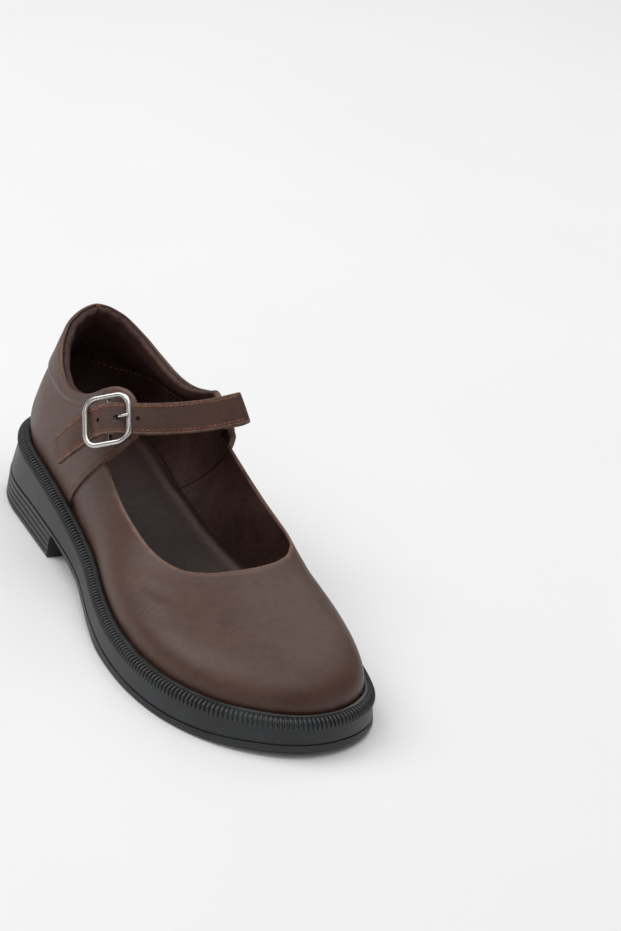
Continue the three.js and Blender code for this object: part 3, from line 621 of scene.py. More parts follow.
class Knots:
    """A small helper that makes and joins shader nodes."""

    def __init__(self, name: str) -> None:
        """Starts a material with a shader and coordinates."""
        self.material = bpy.data.materials.new(name)
        self.material.use_nodes = True
        self.tree = self.material.node_tree
        self.tree.nodes.clear()
        output = self.tree.nodes.new("ShaderNodeOutputMaterial")
        self.shader = self.tree.nodes.new("ShaderNodeBsdfPrincipled")
        self.join(self.shader.outputs["BSDF"], output.inputs["Surface"])
        self.place = self.tree.nodes.new("ShaderNodeTexCoord").outputs["Object"]

    def join(self, start: Socket, end: Socket) -> None:
        """Joins two sockets."""
        self.tree.links.new(start, end)

    def put(self, socket: Socket, value: object) -> None:
        """Joins a socket to another, or sets its value."""
        if isinstance(value, Socket):
            self.join(value, socket)
        else:
            socket.default_value = value

    def noise(
        self,
        scale: float,
        detail: float = 2.0,
        rough: float = 0.5,
        warp: float = 0.0,
        where: Socket | None = None,
    ) -> Socket:
        """Cloudy noise with cells of about 1 / scale metres."""
        node = self.tree.nodes.new("ShaderNodeTexNoise")
        self.join(where if where is not None else self.place, node.inputs["Vector"])
        node.inputs["Scale"].default_value = scale
        node.inputs["Detail"].default_value = detail
        node.inputs["Roughness"].default_value = rough
        node.inputs["Distortion"].default_value = warp
        return node.outputs["Fac"]

    def cells(self, scale: float) -> Socket:
        """Distance in a pattern of cells of about 1 / scale metres."""
        node = self.tree.nodes.new("ShaderNodeTexVoronoi")
        self.join(self.place, node.inputs["Vector"])
        node.inputs["Scale"].default_value = scale
        return node.outputs["Distance"]

    def stretched(
        self,
        scale: tuple[float, float, float],
        turn: tuple[float, float, float] = (0, 0, 0),
    ) -> Socket:
        """Coordinates that are turned and then stretched."""
        node = self.tree.nodes.new("ShaderNodeMapping")
        self.join(self.place, node.inputs["Vector"])
        node.inputs["Scale"].default_value = scale
        node.inputs["Rotation"].default_value = turn
        return node.outputs["Vector"]

    def span(
        self,
        value: object,
        low: float,
        high: float,
        new_low: float = 0.0,
        new_high: float = 1.0,
    ) -> Socket:
        """Maps a value from one range to another, held at its ends."""
        node = self.tree.nodes.new("ShaderNodeMapRange")
        self.put(node.inputs["Value"], value)
        keys = ("From Min", "From Max", "To Min", "To Max")
        for key, number in zip(keys, (low, high, new_low, new_high)):
            node.inputs[key].default_value = number
        return node.outputs["Result"]

    def _sum(self, kind: str, first: object, second: object) -> Socket:
        """One sum of two values."""
        node = self.tree.nodes.new("ShaderNodeMath")
        node.operation = kind
        self.put(node.inputs[0], first)
        self.put(node.inputs[1], second)
        return node.outputs["Value"]

    def times(self, first: object, second: object) -> Socket:
        """The product of two values."""
        return self._sum("MULTIPLY", first, second)

    def weigh(self, first: Socket, weight: float, second: Socket, other: float) -> Socket:
        """Two values added up by weight."""
        return self._sum("ADD", self.times(first, weight), self.times(second, other))

    def blend(self, share: object, first: object, second: object) -> Socket:
        """One colour turning into another."""
        node = self.tree.nodes.new("ShaderNodeMix")
        node.data_type = "RGBA"
        self.put(node.inputs["Factor"], share)
        for key, paint in (("A", first), ("B", second)):
            self.put(node.inputs[key], colour(paint) if isinstance(paint, tuple) else paint)
        return node.outputs["Result"]

    def attribute(self, name: str) -> Socket:
        """A value that the mesh carries."""
        node = self.tree.nodes.new("ShaderNodeAttribute")
        node.attribute_name = name
        return node.outputs["Fac"]

    def bump(
        self,
        height: Socket,
        depth: float,
        strength: float,
        under: Socket | None = None,
    ) -> Socket:
        """A bumpy normal, on top of another if one is given."""
        node = self.tree.nodes.new("ShaderNodeBump")
        self.join(height, node.inputs["Height"])
        node.inputs["Distance"].default_value = depth
        node.inputs["Strength"].default_value = strength
        if under is not None:
            self.join(under, node.inputs["Normal"])
        return node.outputs["Normal"]

    def done(self, paint: Socket, rough: object, normal: Socket | None = None) -> bpy.types.Material:
        """Joins colour, roughness and normal to the shader."""
        self.join(paint, self.shader.inputs["Base Color"])
        self.put(self.shader.inputs["Roughness"], rough)
        if normal is not None:
            self.join(normal, self.shader.inputs["Normal"])
        return self.material


def shade(paint: Paint, share: float) -> Paint:
    """A colour made darker or lighter, at most 255."""
    return tuple(min(value * share, 255) for value in paint)


def colour(paint: Paint) -> tuple[float, float, float, float]:
    """A screen colour from 0 to 255 as a linear one."""
    parts = [value / 255 for value in paint]
    linear = [p / 12.92 if p <= 0.04045 else ((p + 0.055) / 1.055) ** 2.4 for p in parts]
    return (linear[0], linear[1], linear[2], 1.0)


@dataclass(frozen=True)
class Leather:
    """Brown grained leather, mottled, lighter where scuffed at its edges and along a painted
    highlight where the mesh marks one.
    """

    name: str
    dark: Paint
    light: Paint
    scuff_and_highlight_paint: Paint
    grain: float = 1100.0
    relief: float = 0.00013
    rough: float = 0.42
    wrinkles: float = 0.0
    gloss: float = 0.42

    def make(self) -> bpy.types.Material:
        """Builds the material."""
        k = Knots(self.name)
        clouds = k.noise(48, 4, 0.6, 0.6)
        spots = k.noise(260, 3, 0.6)
        paint = k.blend(k.span(k.weigh(clouds, 0.65, spots, 0.35), 0.32, 0.7), self.dark, self.light)
        fine = k.noise(self.grain * 2.3, 3, 0.62)
        pits = k.span(k.cells(self.grain), 0.0, 0.32)
        paint = k.blend(k.span(pits, 0, 1, 0.3, 0.0), paint, shade(self.dark, 0.62))
        # Lighter colour from a mesh attribute: scuffing at the edges of the upper and strap, and a
        # painted highlight along the insole's ridge.
        scuff_and_highlight = k.times(k.attribute("wear_and_highlight"), k.span(k.noise(420, 3, 0.6), 0.3, 0.62, 0.35, 1.0))
        paint = k.blend(scuff_and_highlight, paint, self.scuff_and_highlight_paint)
        normal = k.bump(k.noise(130, 3, 0.55, 0.4), 0.0006, 0.35)
        if self.wrinkles:
            folds = k.noise(60, 4, 0.55, 1.2, k.stretched((1.0, 5.0, 1.4), (0.3, 0.0, 0.5)))
            normal = k.bump(folds, 0.0016 * self.wrinkles, 0.6, normal)
        normal = k.bump(k.weigh(pits, 0.6, fine, 0.7), self.relief, 0.75, normal)
        patches = k.weigh(clouds, 0.5, fine, 0.5)
        rough = k.span(patches, 0.3, 0.7, self.rough - 0.07, self.rough + 0.13)
        k.shader.inputs["Specular IOR Level"].default_value = self.gloss
        return k.done(paint, rough, normal)


@dataclass(frozen=True)
class CutEdge:
    """The raw edge of leather: paler, with fibres and a darker core line."""

    name: str
    dark: Paint
    light: Paint

    def make(self) -> bpy.types.Material:
        """Builds the material."""
        k = Knots(self.name)
        fibres = k.noise(1500, 4, 0.7, 0.8)
        stains = k.noise(240, 3, 0.6)
        paint = k.blend(k.span(stains, 0.35, 0.65), self.dark, self.light)
        paint = k.blend(k.span(fibres, 0.42, 0.7, 0.0, 0.6), paint, shade(self.dark, 0.6))
        return k.done(paint, k.span(fibres, 0.3, 0.7, 0.6, 0.85), k.bump(fibres, 0.0002, 0.7))


@dataclass(frozen=True)
class Rubber:
    """Moulded black rubber with a soft bloom and fine scuffs."""

    name: str
    dark: Paint
    light: Paint
    rough: float = 0.42
    pores: float = 900.0

    def make(self) -> bpy.types.Material:
        """Builds the material."""
        k = Knots(self.name)
        bloom = k.noise(70, 5, 0.62, 0.5)
        specks = k.noise(1400, 3, 0.7)
        paint = k.blend(k.span(bloom, 0.35, 0.68), self.dark, self.light)
        paint = k.blend(k.span(specks, 0.64, 0.78, 0.0, 0.35), paint, shade(self.light, 2.4))
        scuffs = k.noise(420, 4, 0.6, 0.3, k.stretched((1.0, 1.0, 5.0)))
        normal = k.bump(scuffs, 0.00012, 0.5, k.bump(k.noise(self.pores, 3, 0.6), 0.0001, 0.6))
        rough = k.span(bloom, 0.3, 0.7, self.rough - 0.06, self.rough + 0.12)
        return k.done(paint, rough, normal)


@dataclass(frozen=True)
class Metal:
    """Satin plated metal with faint rubbing."""

    name: str
    paint: Paint
    rough: float = 0.24

    def make(self) -> bpy.types.Material:
        """Builds the material."""
        k = Knots(self.name)
        cloud = k.noise(300, 4, 0.6, 0.6)
        lines = k.noise(500, 3, 0.6, 0.2, k.stretched((1.0, 4.0, 1.0), (0.4, 0.3, 0.8)))
        paint = k.blend(k.span(cloud, 0.4, 0.7, 0.0, 0.35), self.paint, shade(self.paint, 0.88))
        k.shader.inputs["Metallic"].default_value = 1.0
        normal = k.bump(lines, 0.000008, 0.3)
        return k.done(paint, k.span(cloud, 0.3, 0.7, self.rough - 0.04, self.rough + 0.06), normal)


@dataclass(frozen=True)
class Thread:
    """Twisted rust-coloured thread."""

    name: str
    dark: Paint
    light: Paint

    def make(self) -> bpy.types.Material:
        """Builds the material."""
        k = Knots(self.name)
        twist = k.noise(2600, 2, 0.6, 0.4, k.stretched((1.0, 1.0, 1.0), (0.6, 0.4, 0.7)))
        tone = k.noise(160, 3, 0.6)
        paint = k.blend(k.span(tone, 0.35, 0.66), self.dark, self.light)
        paint = k.blend(k.span(twist, 0.35, 0.7, 0.0, 0.5), paint, shade(self.dark, 0.45))
        return k.done(paint, 0.62, k.bump(twist, 0.0002, 0.9))


class Look(Enum):
    """The shoe's finishes."""

    UPPER = Leather("grained_leather", (66, 40, 31), (88, 60, 50), (122, 92, 78))
    BAND = Leather("band_leather", (64, 39, 31), (86, 58, 49), (116, 82, 68), grain=1250)
    STRAP = Leather(
        "strap_grain", (66, 41, 33), (88, 60, 50), (140, 110, 94), grain=950, relief=0.0002, rough=0.4
    )
    LINING = Leather(
        "lining_leather", (44, 25, 20), (66, 40, 33), (96, 62, 50), grain=900, rough=0.55, wrinkles=1
    )
    # The insole's third colour is a painted highlight, laid along its raised ridge.
    INSOLE = Leather(
        "pebbled_leather", (36, 22, 19), (54, 36, 31), (92, 68, 58), 620, relief=0.0003, rough=0.5
    )
    EDGE = CutEdge("cut_edge", (84, 56, 44), (122, 90, 74))
    DARK_EDGE = CutEdge("dark_edge", (40, 28, 24), (66, 48, 41))
    RUBBER = Rubber("black_rubber", (34, 35, 37), (50, 52, 54))
    GLOSS = Rubber("welt_rubber", (30, 31, 33), (44, 45, 47), rough=0.26)
    STEEL = Metal("satin_metal", (205, 203, 199))
    THREAD = Thread("rust_thread", (118, 66, 44), (162, 98, 68))

    def material(self) -> bpy.types.Material:
        """The finish's material, made once."""
        found = bpy.data.materials.get(self.value.name)
        return found if found is not None else self.value.make()


# What repeats along a line


@dataclass(frozen=True)
class Rod:
    """Sizes in millimetres of one short bent rod: x along its row, z out of the surface."""

    start: tuple[float, float, float]
    middle: tuple[float, float, float]
    end: tuple[float, float, float]
    radius: float
    bends: int = 6
    sides: int = 8
    spread: float = 0.05


STITCH = Rod((-0.95, 0, -0.34), (0, 0, 0.5), (0.95, 0, -0.34), 0.33, bends=5, sides=7, spread=0.12)


class Rods:
    """A node tree that lays a bent rod at each point of a mesh, turned as the point says."""

    SIZES = ("Start", "Middle", "End")
    SEED = 7

    def __init__(self, bench: Bench) -> None:
        """Builds the tree."""
        self.bench = bench
        tree = bpy.data.node_groups.new("rods", "GeometryNodeTree")
        face = tree.interface
        for name, kind in (
            ("Points", "Geometry"),
            *((name, "Vector") for name in self.SIZES),
            ("Radius", "Float"),
            ("Bends", "Int"),
            ("Sides", "Int"),
            ("Least", "Float"),
            ("Seed", "Int"),
            ("Material", "Material"),
        ):
            face.new_socket(name, in_out="INPUT", socket_type="NodeSocket" + kind)
        face.new_socket("Rods", in_out="OUTPUT", socket_type="NodeSocketGeometry")
        make = tree.nodes.new
        given = make("NodeGroupInput").outputs
        curve = make("GeometryNodeCurveQuadraticBezier")
        circle = make("GeometryNodeCurvePrimitiveCircle")
        swept = make("GeometryNodeCurveToMesh")
        turned = make("GeometryNodeInputNamedAttribute")
        euler = make("FunctionNodeEulerToRotation")
        size = make("FunctionNodeRandomValue")
        laid = make("GeometryNodeInstanceOnPoints")
        real = make("GeometryNodeRealizeInstances")
        smoothed = make("GeometryNodeSetShadeSmooth")
        dressed = make("GeometryNodeSetMaterial")
        output = make("NodeGroupOutput")
        turned.data_type = "FLOAT_VECTOR"
        turned.inputs["Name"].default_value = "turn"
        swept.inputs["Fill Caps"].default_value = True
        size.data_type = "FLOAT"
        low, high, scale = size.inputs[2], size.inputs[3], size.outputs[1]
        high.default_value = 1.0
        for start, end in (
            (given["Bends"], curve.inputs["Resolution"]),
            (given["Start"], curve.inputs["Start"]),
            (given["Middle"], curve.inputs["Middle"]),
            (given["End"], curve.inputs["End"]),
            (given["Sides"], circle.inputs["Resolution"]),
            (given["Radius"], circle.inputs["Radius"]),
            (curve.outputs["Curve"], swept.inputs["Curve"]),
            (circle.outputs["Curve"], swept.inputs["Profile Curve"]),
            (turned.outputs["Attribute"], euler.inputs["Euler"]),
            (given["Least"], low),
            (given["Seed"], size.inputs["Seed"]),
            (given["Points"], laid.inputs["Points"]),
            (swept.outputs["Mesh"], laid.inputs["Instance"]),
            (euler.outputs["Rotation"], laid.inputs["Rotation"]),
            (scale, laid.inputs["Scale"]),
            (laid.outputs["Instances"], real.inputs["Geometry"]),
            (real.outputs["Geometry"], smoothed.inputs["Geometry"]),
            (smoothed.outputs["Geometry"], dressed.inputs["Geometry"]),
            (given["Material"], dressed.inputs["Material"]),
            (dressed.outputs["Geometry"], output.inputs["Rods"]),
        ):
            tree.links.new(start, end)
        self.tree = tree
        inputs = (item for item in face.items_tree if item.in_out == "INPUT")
        self.sockets = {item.name: item.identifier for item in inputs}

    def lay(
        self,
        name: str,
        points: Array,
        runs: Array,
        outs: Array,
        rod: Rod,
        look: Look,
    ) -> bpy.types.Object:
        """Lays rods and turns them into one plain mesh.

        Args:
            name: The piece's name.
            points: Where the rods go, in millimetres on the plan.
            runs: The rods' x direction at each point.
            outs: The rods' z direction at each point.
            rod: The rod's sizes.
            look: Its finish.

        Returns:
            The piece.
        """
        mesh = bpy.data.meshes.new(name)
        mesh.from_pydata(self.bench.metres(points).tolist(), [], [])
        eulers = []
        for run, out in zip(unit(runs), unit(outs)):
            side = np.cross(out, run)
            side /= np.linalg.norm(side)
            basis = np.stack([run, side, np.cross(run, side)], axis=1)
            eulers.extend(Matrix(basis.tolist()).to_euler())
        turned = mesh.attributes.new("turn", "FLOAT_VECTOR", "POINT")
        turned.data.foreach_set("vector", eulers)
        piece = bpy.data.objects.new(name, mesh)
        bpy.context.scene.collection.objects.link(piece)
        change = piece.modifiers.new("rods", "NODES")
        change.node_group = self.tree
        ends = ([part / 1000 for part in end] for end in (rod.start, rod.middle, rod.end))
        for key, value in (
            *zip(self.SIZES, ends),
            ("Radius", rod.radius / 1000),
            ("Bends", rod.bends),
            ("Sides", rod.sides),
            ("Least", 1 - rod.spread),
            ("Seed", self.SEED),
            ("Material", look.material()),
        ):
            change[self.sockets[key]] = value
        plain_mesh(piece)
        return piece


def walked(line: Array) -> Array:
    """Distances along a line, from its start."""
    steps = np.linalg.norm(np.diff(line, axis=0), axis=1)
    return np.concatenate([[0.0], np.cumsum(steps)])


def spaced(line: Array, outs: Array, pitch: float) -> tuple[Array, Array, Array]:
    """Evenly spaced places along a line.

    Args:
        line: Points of the line.
        outs: The outward direction at each point.
        pitch: Distance from place to place.

    Returns:
        Points, directions along the line and outward directions.
    """
    length = walked(line)
    count = max(2, int(round(length[-1] / pitch)))
    at = (np.arange(count) + 0.5) * length[-1] / count
    near = 0.3

    def read(values: Array, where: Array) -> Array:
        return np.stack([np.interp(where, length, values[:, i]) for i in range(3)], axis=-1)

    return read(line, at), unit(read(line, at + near) - read(line, at - near)), unit(read(outs, at))


def stitched(rods: Rods, name: str, rows: Sequence[tuple[Array, Array, float]]) -> bpy.types.Object:
    """Lays stitches along rows.

    Args:
        rods: What lays them.
        name: The piece's name.
        rows: Each row's line, outward directions and pitch.

    Returns:
        The piece.
    """
    parts = [spaced(line, out, pitch) for line, out, pitch in rows]
    points, runs, outs = (np.concatenate(found) for found in zip(*parts))
    return rods.lay(name, points, runs, outs, STITCH, Look.THREAD)


# Sole


@dataclass
class Sole:
    """The moulded sole with its ribbed welt and low heel."""

    bench: Bench
    stations: int = 480
    overhang: float = 0.7
    groove_depth: float = 0.7
    heel_cuts: tuple[float, ...] = (0.154, 0.376, 0.598, 0.821)
    heel_cut_depth: float = 0.55
    glossy_rows: int = 7
    rib_pitch: float = 2.05
    rib: Rod = Rod((-3.1, 0, 1.0), (0.05, 0, 0.85), (-0.55, 0.35, -2.45), 0.76, spread=0.03)

    def _rows(self, u: Array) -> list[tuple[Array, Array]]:
        """Distances out and heights of the loops, from the floor up to the seat."""
        plan = self.bench.plan
        spring, groove, top = plan.spring(u), plan.groove(u), plan.shoulder(u)

        def wall(share: float, inset: Array | float = 0.0) -> Array:
            return mix(flare(u), -self.overhang, share) - inset

        heel = self.heel_cut_depth * (1 - smooth(u, HEEL_BREAST - 2.5, HEEL_BREAST - 1.5))
        foot, under = spring + 0.8, groove - 0.5
        rows = [
            (flare(u) - 0.8, spring),
            (flare(u) - 0.25, spring + 0.25),
            (wall(0), foot),
        ]
        for cut in self.heel_cuts:
            height = mix(foot, under, cut)
            share = 0.15 * cut
            for inset, rise in ((0.0, -0.36), (heel, -0.24), (heel, 0.24), (0.0, 0.36)):
                rows.append((wall(share, inset), height + rise))
        over, band = groove + 0.5, top - 2.9
        rows += [
            (wall(0.15), under),
            (wall(0.17, self.groove_depth), under + 0.14),
            (wall(0.23, self.groove_depth), over - 0.14),
            (wall(0.25), over),
            (wall(0.35), mix(over, band, 0.15)),
            (wall(0.8), mix(over, band, 0.75)),
            (wall(1), band),
            *((np.full_like(u, out), top + rise) for out, rise in WELT_PROFILE),
            (np.full_like(u, -WELT_LEDGE), plan.platform(u)),
        ]
        return rows

    def body(self) -> bpy.types.Object:
        """Makes the sole and cuts the hollow under the shank."""
        plan = self.bench.plan
        turn = np.arange(self.stations) * 360 / self.stations
        u = plan.forward(turn)
        rows = self._rows(u)
        skin = Skin()
        loops = []
        for out, height in rows:
            loop = plan.offset(turn, out)
            loop[:, 2] = height
            loops.append(loop)
        grid = skin.add(np.stack(loops))
        looks = np.zeros((len(rows) - 1, 1), int)
        looks[-self.glossy_rows :] = 1
        skin.net(grid, looks, round_columns=True)
        skin.rung(grid[0])
        skin.rung(grid[-1])
        sole = self.bench.make("sole", skin, [Look.RUBBER, Look.GLOSS], 32)
        return self.bench.cut(sole, [self._hollow()], 32)

    def _hollow(self) -> bpy.types.Object:
        """The space under the shank, as a tool."""
        below, wide = -5, 90
        line = (
            (HEEL_BREAST, below),
            (HEEL_BREAST - 0.6, SHANK_HEIGHT - 2),
            (HEEL_BREAST - 0.3, SHANK_HEIGHT - 1.1),
            (HEEL_BREAST + 0.5, SHANK_HEIGHT - 0.4),
            (HEEL_BREAST + 2.4, SHANK_HEIGHT),
            (0.38 * LENGTH, SHANK_HEIGHT - 1.6),
            (0.45 * LENGTH, SHANK_HEIGHT - 3.8),
            (0.52 * LENGTH, SHANK_HEIGHT - 6.6),
            (0.6 * LENGTH, 1.5),
            (0.64 * LENGTH, 0.5),
            (SHANK_START * LENGTH, -0.02),
            (SHANK_START * LENGTH, below),
        )
        skin = Skin()
        sides = [np.stack([place(x, u, z) for u, z in line]) for x in (-wide, wide)]
        skin.rod(np.stack(sides))
        return self.bench.make("hollow", skin, [Look.RUBBER])

    def ribs(self, rods: Rods) -> bpy.types.Object:
        """Makes the ribs that wrap over the welt's shoulder."""
        plan = self.bench.plan
        turn = np.linspace(0, 360, 2881)
        line = plan.edge(turn)
        length = walked(line)
        count = int(round(length[-1] / self.rib_pitch))
        at = np.interp(np.arange(count) * length[-1] / count, length, turn)
        points = plan.edge(at)
        points[:, 2] = plan.shoulder(plan.forward(at))
        up = np.tile([0.0, 0.0, 1.0], (count, 1))
        return rods.lay("welt_ribs", points, plan.outward(at), up, self.rib, Look.RUBBER)


# Upper


@dataclass(frozen=True)
class Crease:
    """A soft furrow across the leather."""

    start: tuple[float, float]
    end: tuple[float, float]
    depth: float
    width: float


@dataclass
class Upper:
    """The quarters, the vamp, the padded collar band and their seams."""

    bench: Bench
    lip: float = 1.3
    edge_steps: int = 9
    wall_sharp: float = 38.0
    # turn, share of the rib at the band's seam
    band_seam: Table = (
        (0, 0.5),
        (15, 0.556),
        (22.1, 0.712),
        (26.3, 0.79),
        (31.8, 0.82),
        (36.8, 0.815),
        (40.3, 0.82),
        (46, 0.825),
        (60, 0.86),
    )
    band_end: tuple[float, float] = (46.5, 50.5)
    band_under: float = 0.8
    lining_under: float = 0.7
    back_seam: tuple[float, float] = (0.3, 0.55)
    # The band's roll, the lining's puckers and tuck at the back, and the groove along the top
    roll: tuple[float, float] = (0.35, 0.75)
    pucker: float = 0.34
    back_tuck: float = 0.9
    top_notch: float = 1.15
    # Rows of stitches, in millimetres from the edge and as shares of the ribs
    stitch_pitch: float = 2.3
    seam_insets: tuple[float, float] = (2.6, 4.4)
    top_inset: float = 2.4
    quarter_creases: tuple[Crease, ...] = (
        Crease((52, 0.62), (60, 0.5), 0.35, 2.2),
        Crease((-50, 0.6), (-59, 0.5), 0.4, 2.4),
        Crease((18, 0.36), (34, 0.3), 0.25, 4.0),
        Crease((-20, 0.34), (-36, 0.3), 0.25, 4.0),
    )
    vamp_creases: tuple[Crease, ...] = (
        Crease((104, 0.62), (128, 0.72), 0.28, 2.6),
        Crease((112, 0.4), (130, 0.5), 0.22, 3.0),
        Crease((252, 0.66), (232, 0.74), 0.26, 2.8),
        Crease((262, 0.42), (240, 0.55), 0.22, 3.2),
    )

    def _seam(self, turn: Array) -> Array:
        """Share of the rib at the band's seam."""
        return Track(self.band_seam)(np.abs(turn))[..., 0]

    def _supple(self, points: Array, seed: float = 0.0) -> Array:
        """Slow swells of hand-lasted leather, in millimetres."""
        x, y, z = (points[..., i] for i in range(3))
        wave = np.sin(x / 8.3 + 1.7 * np.sin(y / 19 + seed) + z / 13)
        wave = wave + 0.7 * np.sin(y / 11.5 - 1.3 * np.sin(z / 15 + seed) + x / 23)
        return 0.1 * wave + 0.05 * np.sin(z / 4.9 + y / 6.1 + 2 * np.sin(x / 7.0))

    def _furrows(self, surface: Surface, points: Array, creases: Sequence[Crease]) -> Array:
        """Depth of the creases at points of a surface."""
        depth = np.zeros(points.shape[:-1])
        steps = 9
        share = np.linspace(0, 1, steps)
        for crease in creases:
            turn, level = (mix(*ends, share) for ends in zip(crease.start, crease.end))
            gap = np.linalg.norm(points[..., None, :] - surface(turn, level), axis=-1)
            fade = crease.depth * np.sin(np.pi * (gap.argmin(axis=-1) + 0.5) / steps)
            far = gap.min(axis=-1) / crease.width
            depth = depth + fade * (0.5 * np.exp(-((far - 2) ** 2)) - np.exp(-(far**2)))
        return depth

    def _collar(self, turn: Array, t: Array) -> Array:
        """How much of the collar's padding there is."""
        fade = 1 - smooth(np.abs(turn), 34, 47)
        return fade * smooth(t, 0.5, 0.68) * (1 - 0.6 * smooth(t, 0.86, 1))

    def _banded(self, turn: Array) -> Array:
        """1 where the collar band covers the quarter's edge."""
        return 1 - smooth(np.abs(turn), *self.band_end)

    def _speed(self, surface: Surface, turn: Array) -> Array:
        """Each rib's length for a whole share, as it is at its top."""
        step = 1e-3
        run = surface(turn, np.ones_like(turn)) - surface(turn, np.full_like(turn, 1 - step))
        return np.linalg.norm(run / step, axis=-1)

    def _shell(
        self,
        surface: Surface,
        turn: Array,
        levels: Array,
        outer: Callable[[Array, Array], Array],
        inner: Callable[[Array, Array], Array],
        top: Array,
        shift: Callable[[Array], Array],
    ) -> Array:
        """Closed sections of a leather wall, with its top edge rounded.

        Args:
            surface: The ribs that the wall stands on.
            turn: A turn for each section.
            levels: Shares up the ribs, from 0 to 1.
            outer: Distance from the surface to the outer face.
            inner: Distance from the surface to the inner face.
            top: The share of its rib at which each section ends.
            shift: Small swells of the outer face.

        Returns:
            Points as sections by places round them.
        """
        column = turn[:, None]
        speed = self._speed(surface, turn)
        end = top * (1 - self.lip / np.maximum(speed * top, 20))
        share = levels[None, :] * end[:, None]
        here = surface(column, share)
        normal = normals(surface, column, share)
        skirt = here[:, :1] - np.array([0, 0, PLATFORM_DROP - GAP])
        here = np.concatenate([skirt, here], axis=1)
        normal = np.concatenate([normal[:, :1], normal], axis=1)
        share = np.concatenate([np.zeros_like(share[:, :1]), share], axis=1)
        outs, inns = outer(column, share), inner(column, share)
        swell = shift(here) * np.sin(np.pi * np.clip(share / end[:, None], 0, 1)) ** 0.5
        left = here + normal * (outs + swell)[..., None]
        right = here - normal * inns[..., None]
        crest = surface(turn, top)
        up = unit(crest - here[:, -1])
        height = np.linalg.norm(crest - here[:, -1], axis=-1)
        angle = np.linspace(0, np.pi, self.edge_steps + 2)[1:-1]
        half = (outs[:, -1] + inns[:, -1]) / 2
        middle = (outs[:, -1] - inns[:, -1]) / 2
        round_edge = (
            here[:, -1][:, None]
            + normal[:, -1][:, None] * (middle[:, None] + half[:, None] * np.cos(angle))[..., None]
            + up[:, None] * (height[:, None] * np.sin(angle))[..., None]
        )
        return np.concatenate([left, round_edge, right[:, ::-1]], axis=1)

    def _wall(self, name: str, ring: Array, rolled: int) -> bpy.types.Object:
        """Makes a leather wall: leather outside, a cut edge and a lining inside.

        Args:
            name: The piece's name.
            ring: Points as sections by places round them.
            rolled: How many places past the outer face still show leather.

        Returns:
            The piece, most scuffed at its rounded edge.
        """
        places = ring.shape[1]
        face = (places - self.edge_steps) // 2
        crest = face + self.edge_steps // 2
        wear_and_highlight = np.zeros(places)
        wear_and_highlight[face - 2 : face + self.edge_steps] = 0.35
        wear_and_highlight[face : crest + 1] = 0.8
        skin = Skin()
        grid = skin.add(ring, np.tile(wear_and_highlight, (len(ring), 1)))
        looks = np.where(np.arange(places) < crest + rolled, 0, 1)
        looks[crest + rolled : crest + self.edge_steps // 2 + 1] = 2
        skin.net(grid, looks[None, :], round_columns=True)
        half = places // 2
        for row in (grid[0], grid[-1]):
            skin.net(np.stack([row[:half], row[::-1][:half]], axis=1), 2)
            skin.close(row[half - 1 : half + 2], 2)
        return self.bench.make(name, skin, [Look.UPPER, Look.LINING, Look.EDGE], self.wall_sharp)

    def quarters(self) -> bpy.types.Object:
        """Makes the quarters, from the inner seam round the heel to the outer one."""
        form = self.bench.form
        middle = np.linspace(-INNER_SEAM + 0.7, OUTER_SEAM - 0.7, 260)
        turn = np.concatenate(
            [[-INNER_SEAM, -INNER_SEAM + 0.25], middle, [OUTER_SEAM - 0.25, OUTER_SEAM]]
        )
        levels = np.concatenate([np.linspace(0, 0.94, 70), np.linspace(0.95, 1, 6)])
        ends = np.minimum(turn + INNER_SEAM, OUTER_SEAM - turn)

        def outer(at: Array, t: Array) -> Array:
            bevel = 0.25 * (1 - smooth(ends, 0, 0.5))[:, None]
            under = self._banded(at) * smooth(t - self._seam(at), 0.0, 0.03)
            return QUARTER_PROUD - bevel - self.band_under * under

        def inner(at: Array, t: Array) -> Array:
            under = self._banded(at) * smooth(t - self._seam(at), -0.02, 0.03)
            return QUARTER_LINING - self.lining_under * under

        def shift(points: Array) -> Array:
            depth, width = self.back_seam
            back = np.exp(-((points[..., 0] / width) ** 2)) * (points[..., 1] > 90)
            furrows = self._furrows(form.quarter, points, self.quarter_creases)
            return self._supple(points) * 0.7 + furrows - depth * back

        top = 1 - 0.06 * self._banded(turn)
        ring = self._shell(form.quarter, turn, levels, outer, inner, top, shift)
        return self._wall("quarters", ring, 0)

    def vamp(self) -> bpy.types.Object:
        """Makes the vamp, its edges tucked under the quarters."""
        form = self.bench.form
        start, stop = OUTER_SEAM, 360 - INNER_SEAM

        def surface(turn: Array, t: Array) -> Array:
            turn, t = np.broadcast_arrays(np.asarray(turn, float), np.asarray(t, float))
            share = np.where(turn < 180, VAMP_START["outer"], VAMP_START["inner"])
            tucked = (turn < start) | (turn > stop)
            under = form.quarter(np.where(turn < 180, turn, turn - 360), t * share)
            return np.where(tucked[..., None], under, form.vamp(np.clip(turn, start, stop), t))

        reach = 5.0
        turn = np.concatenate(
            [
                np.linspace(start - reach, start, 8)[:-1],
                np.linspace(start, stop, 340),
                np.linspace(stop, stop + reach, 8)[1:],
            ]
        )
        levels = np.concatenate([np.linspace(0, 0.92, 64), np.linspace(0.935, 1, 6)])
        tuck = np.clip(np.maximum(start - turn, turn - stop), 0, reach) / reach

        def outer(_: Array, t: Array) -> Array:
            return -0.02 - 0.1 * tuck[:, None] + 0 * t

        def inner(_: Array, t: Array) -> Array:
            return VAMP_WALL - 0.1 * tuck[:, None] + 0 * t

        def shift(points: Array) -> Array:
            furrows = self._furrows(form.vamp, points, self.vamp_creases)
            return (self._supple(points, 1.0) + furrows) * (1 - tuck)[:, None]

        ring = self._shell(surface, turn, levels, outer, inner, 1 - 0.04 * tuck, shift)
        return self._wall("vamp", ring, 2)

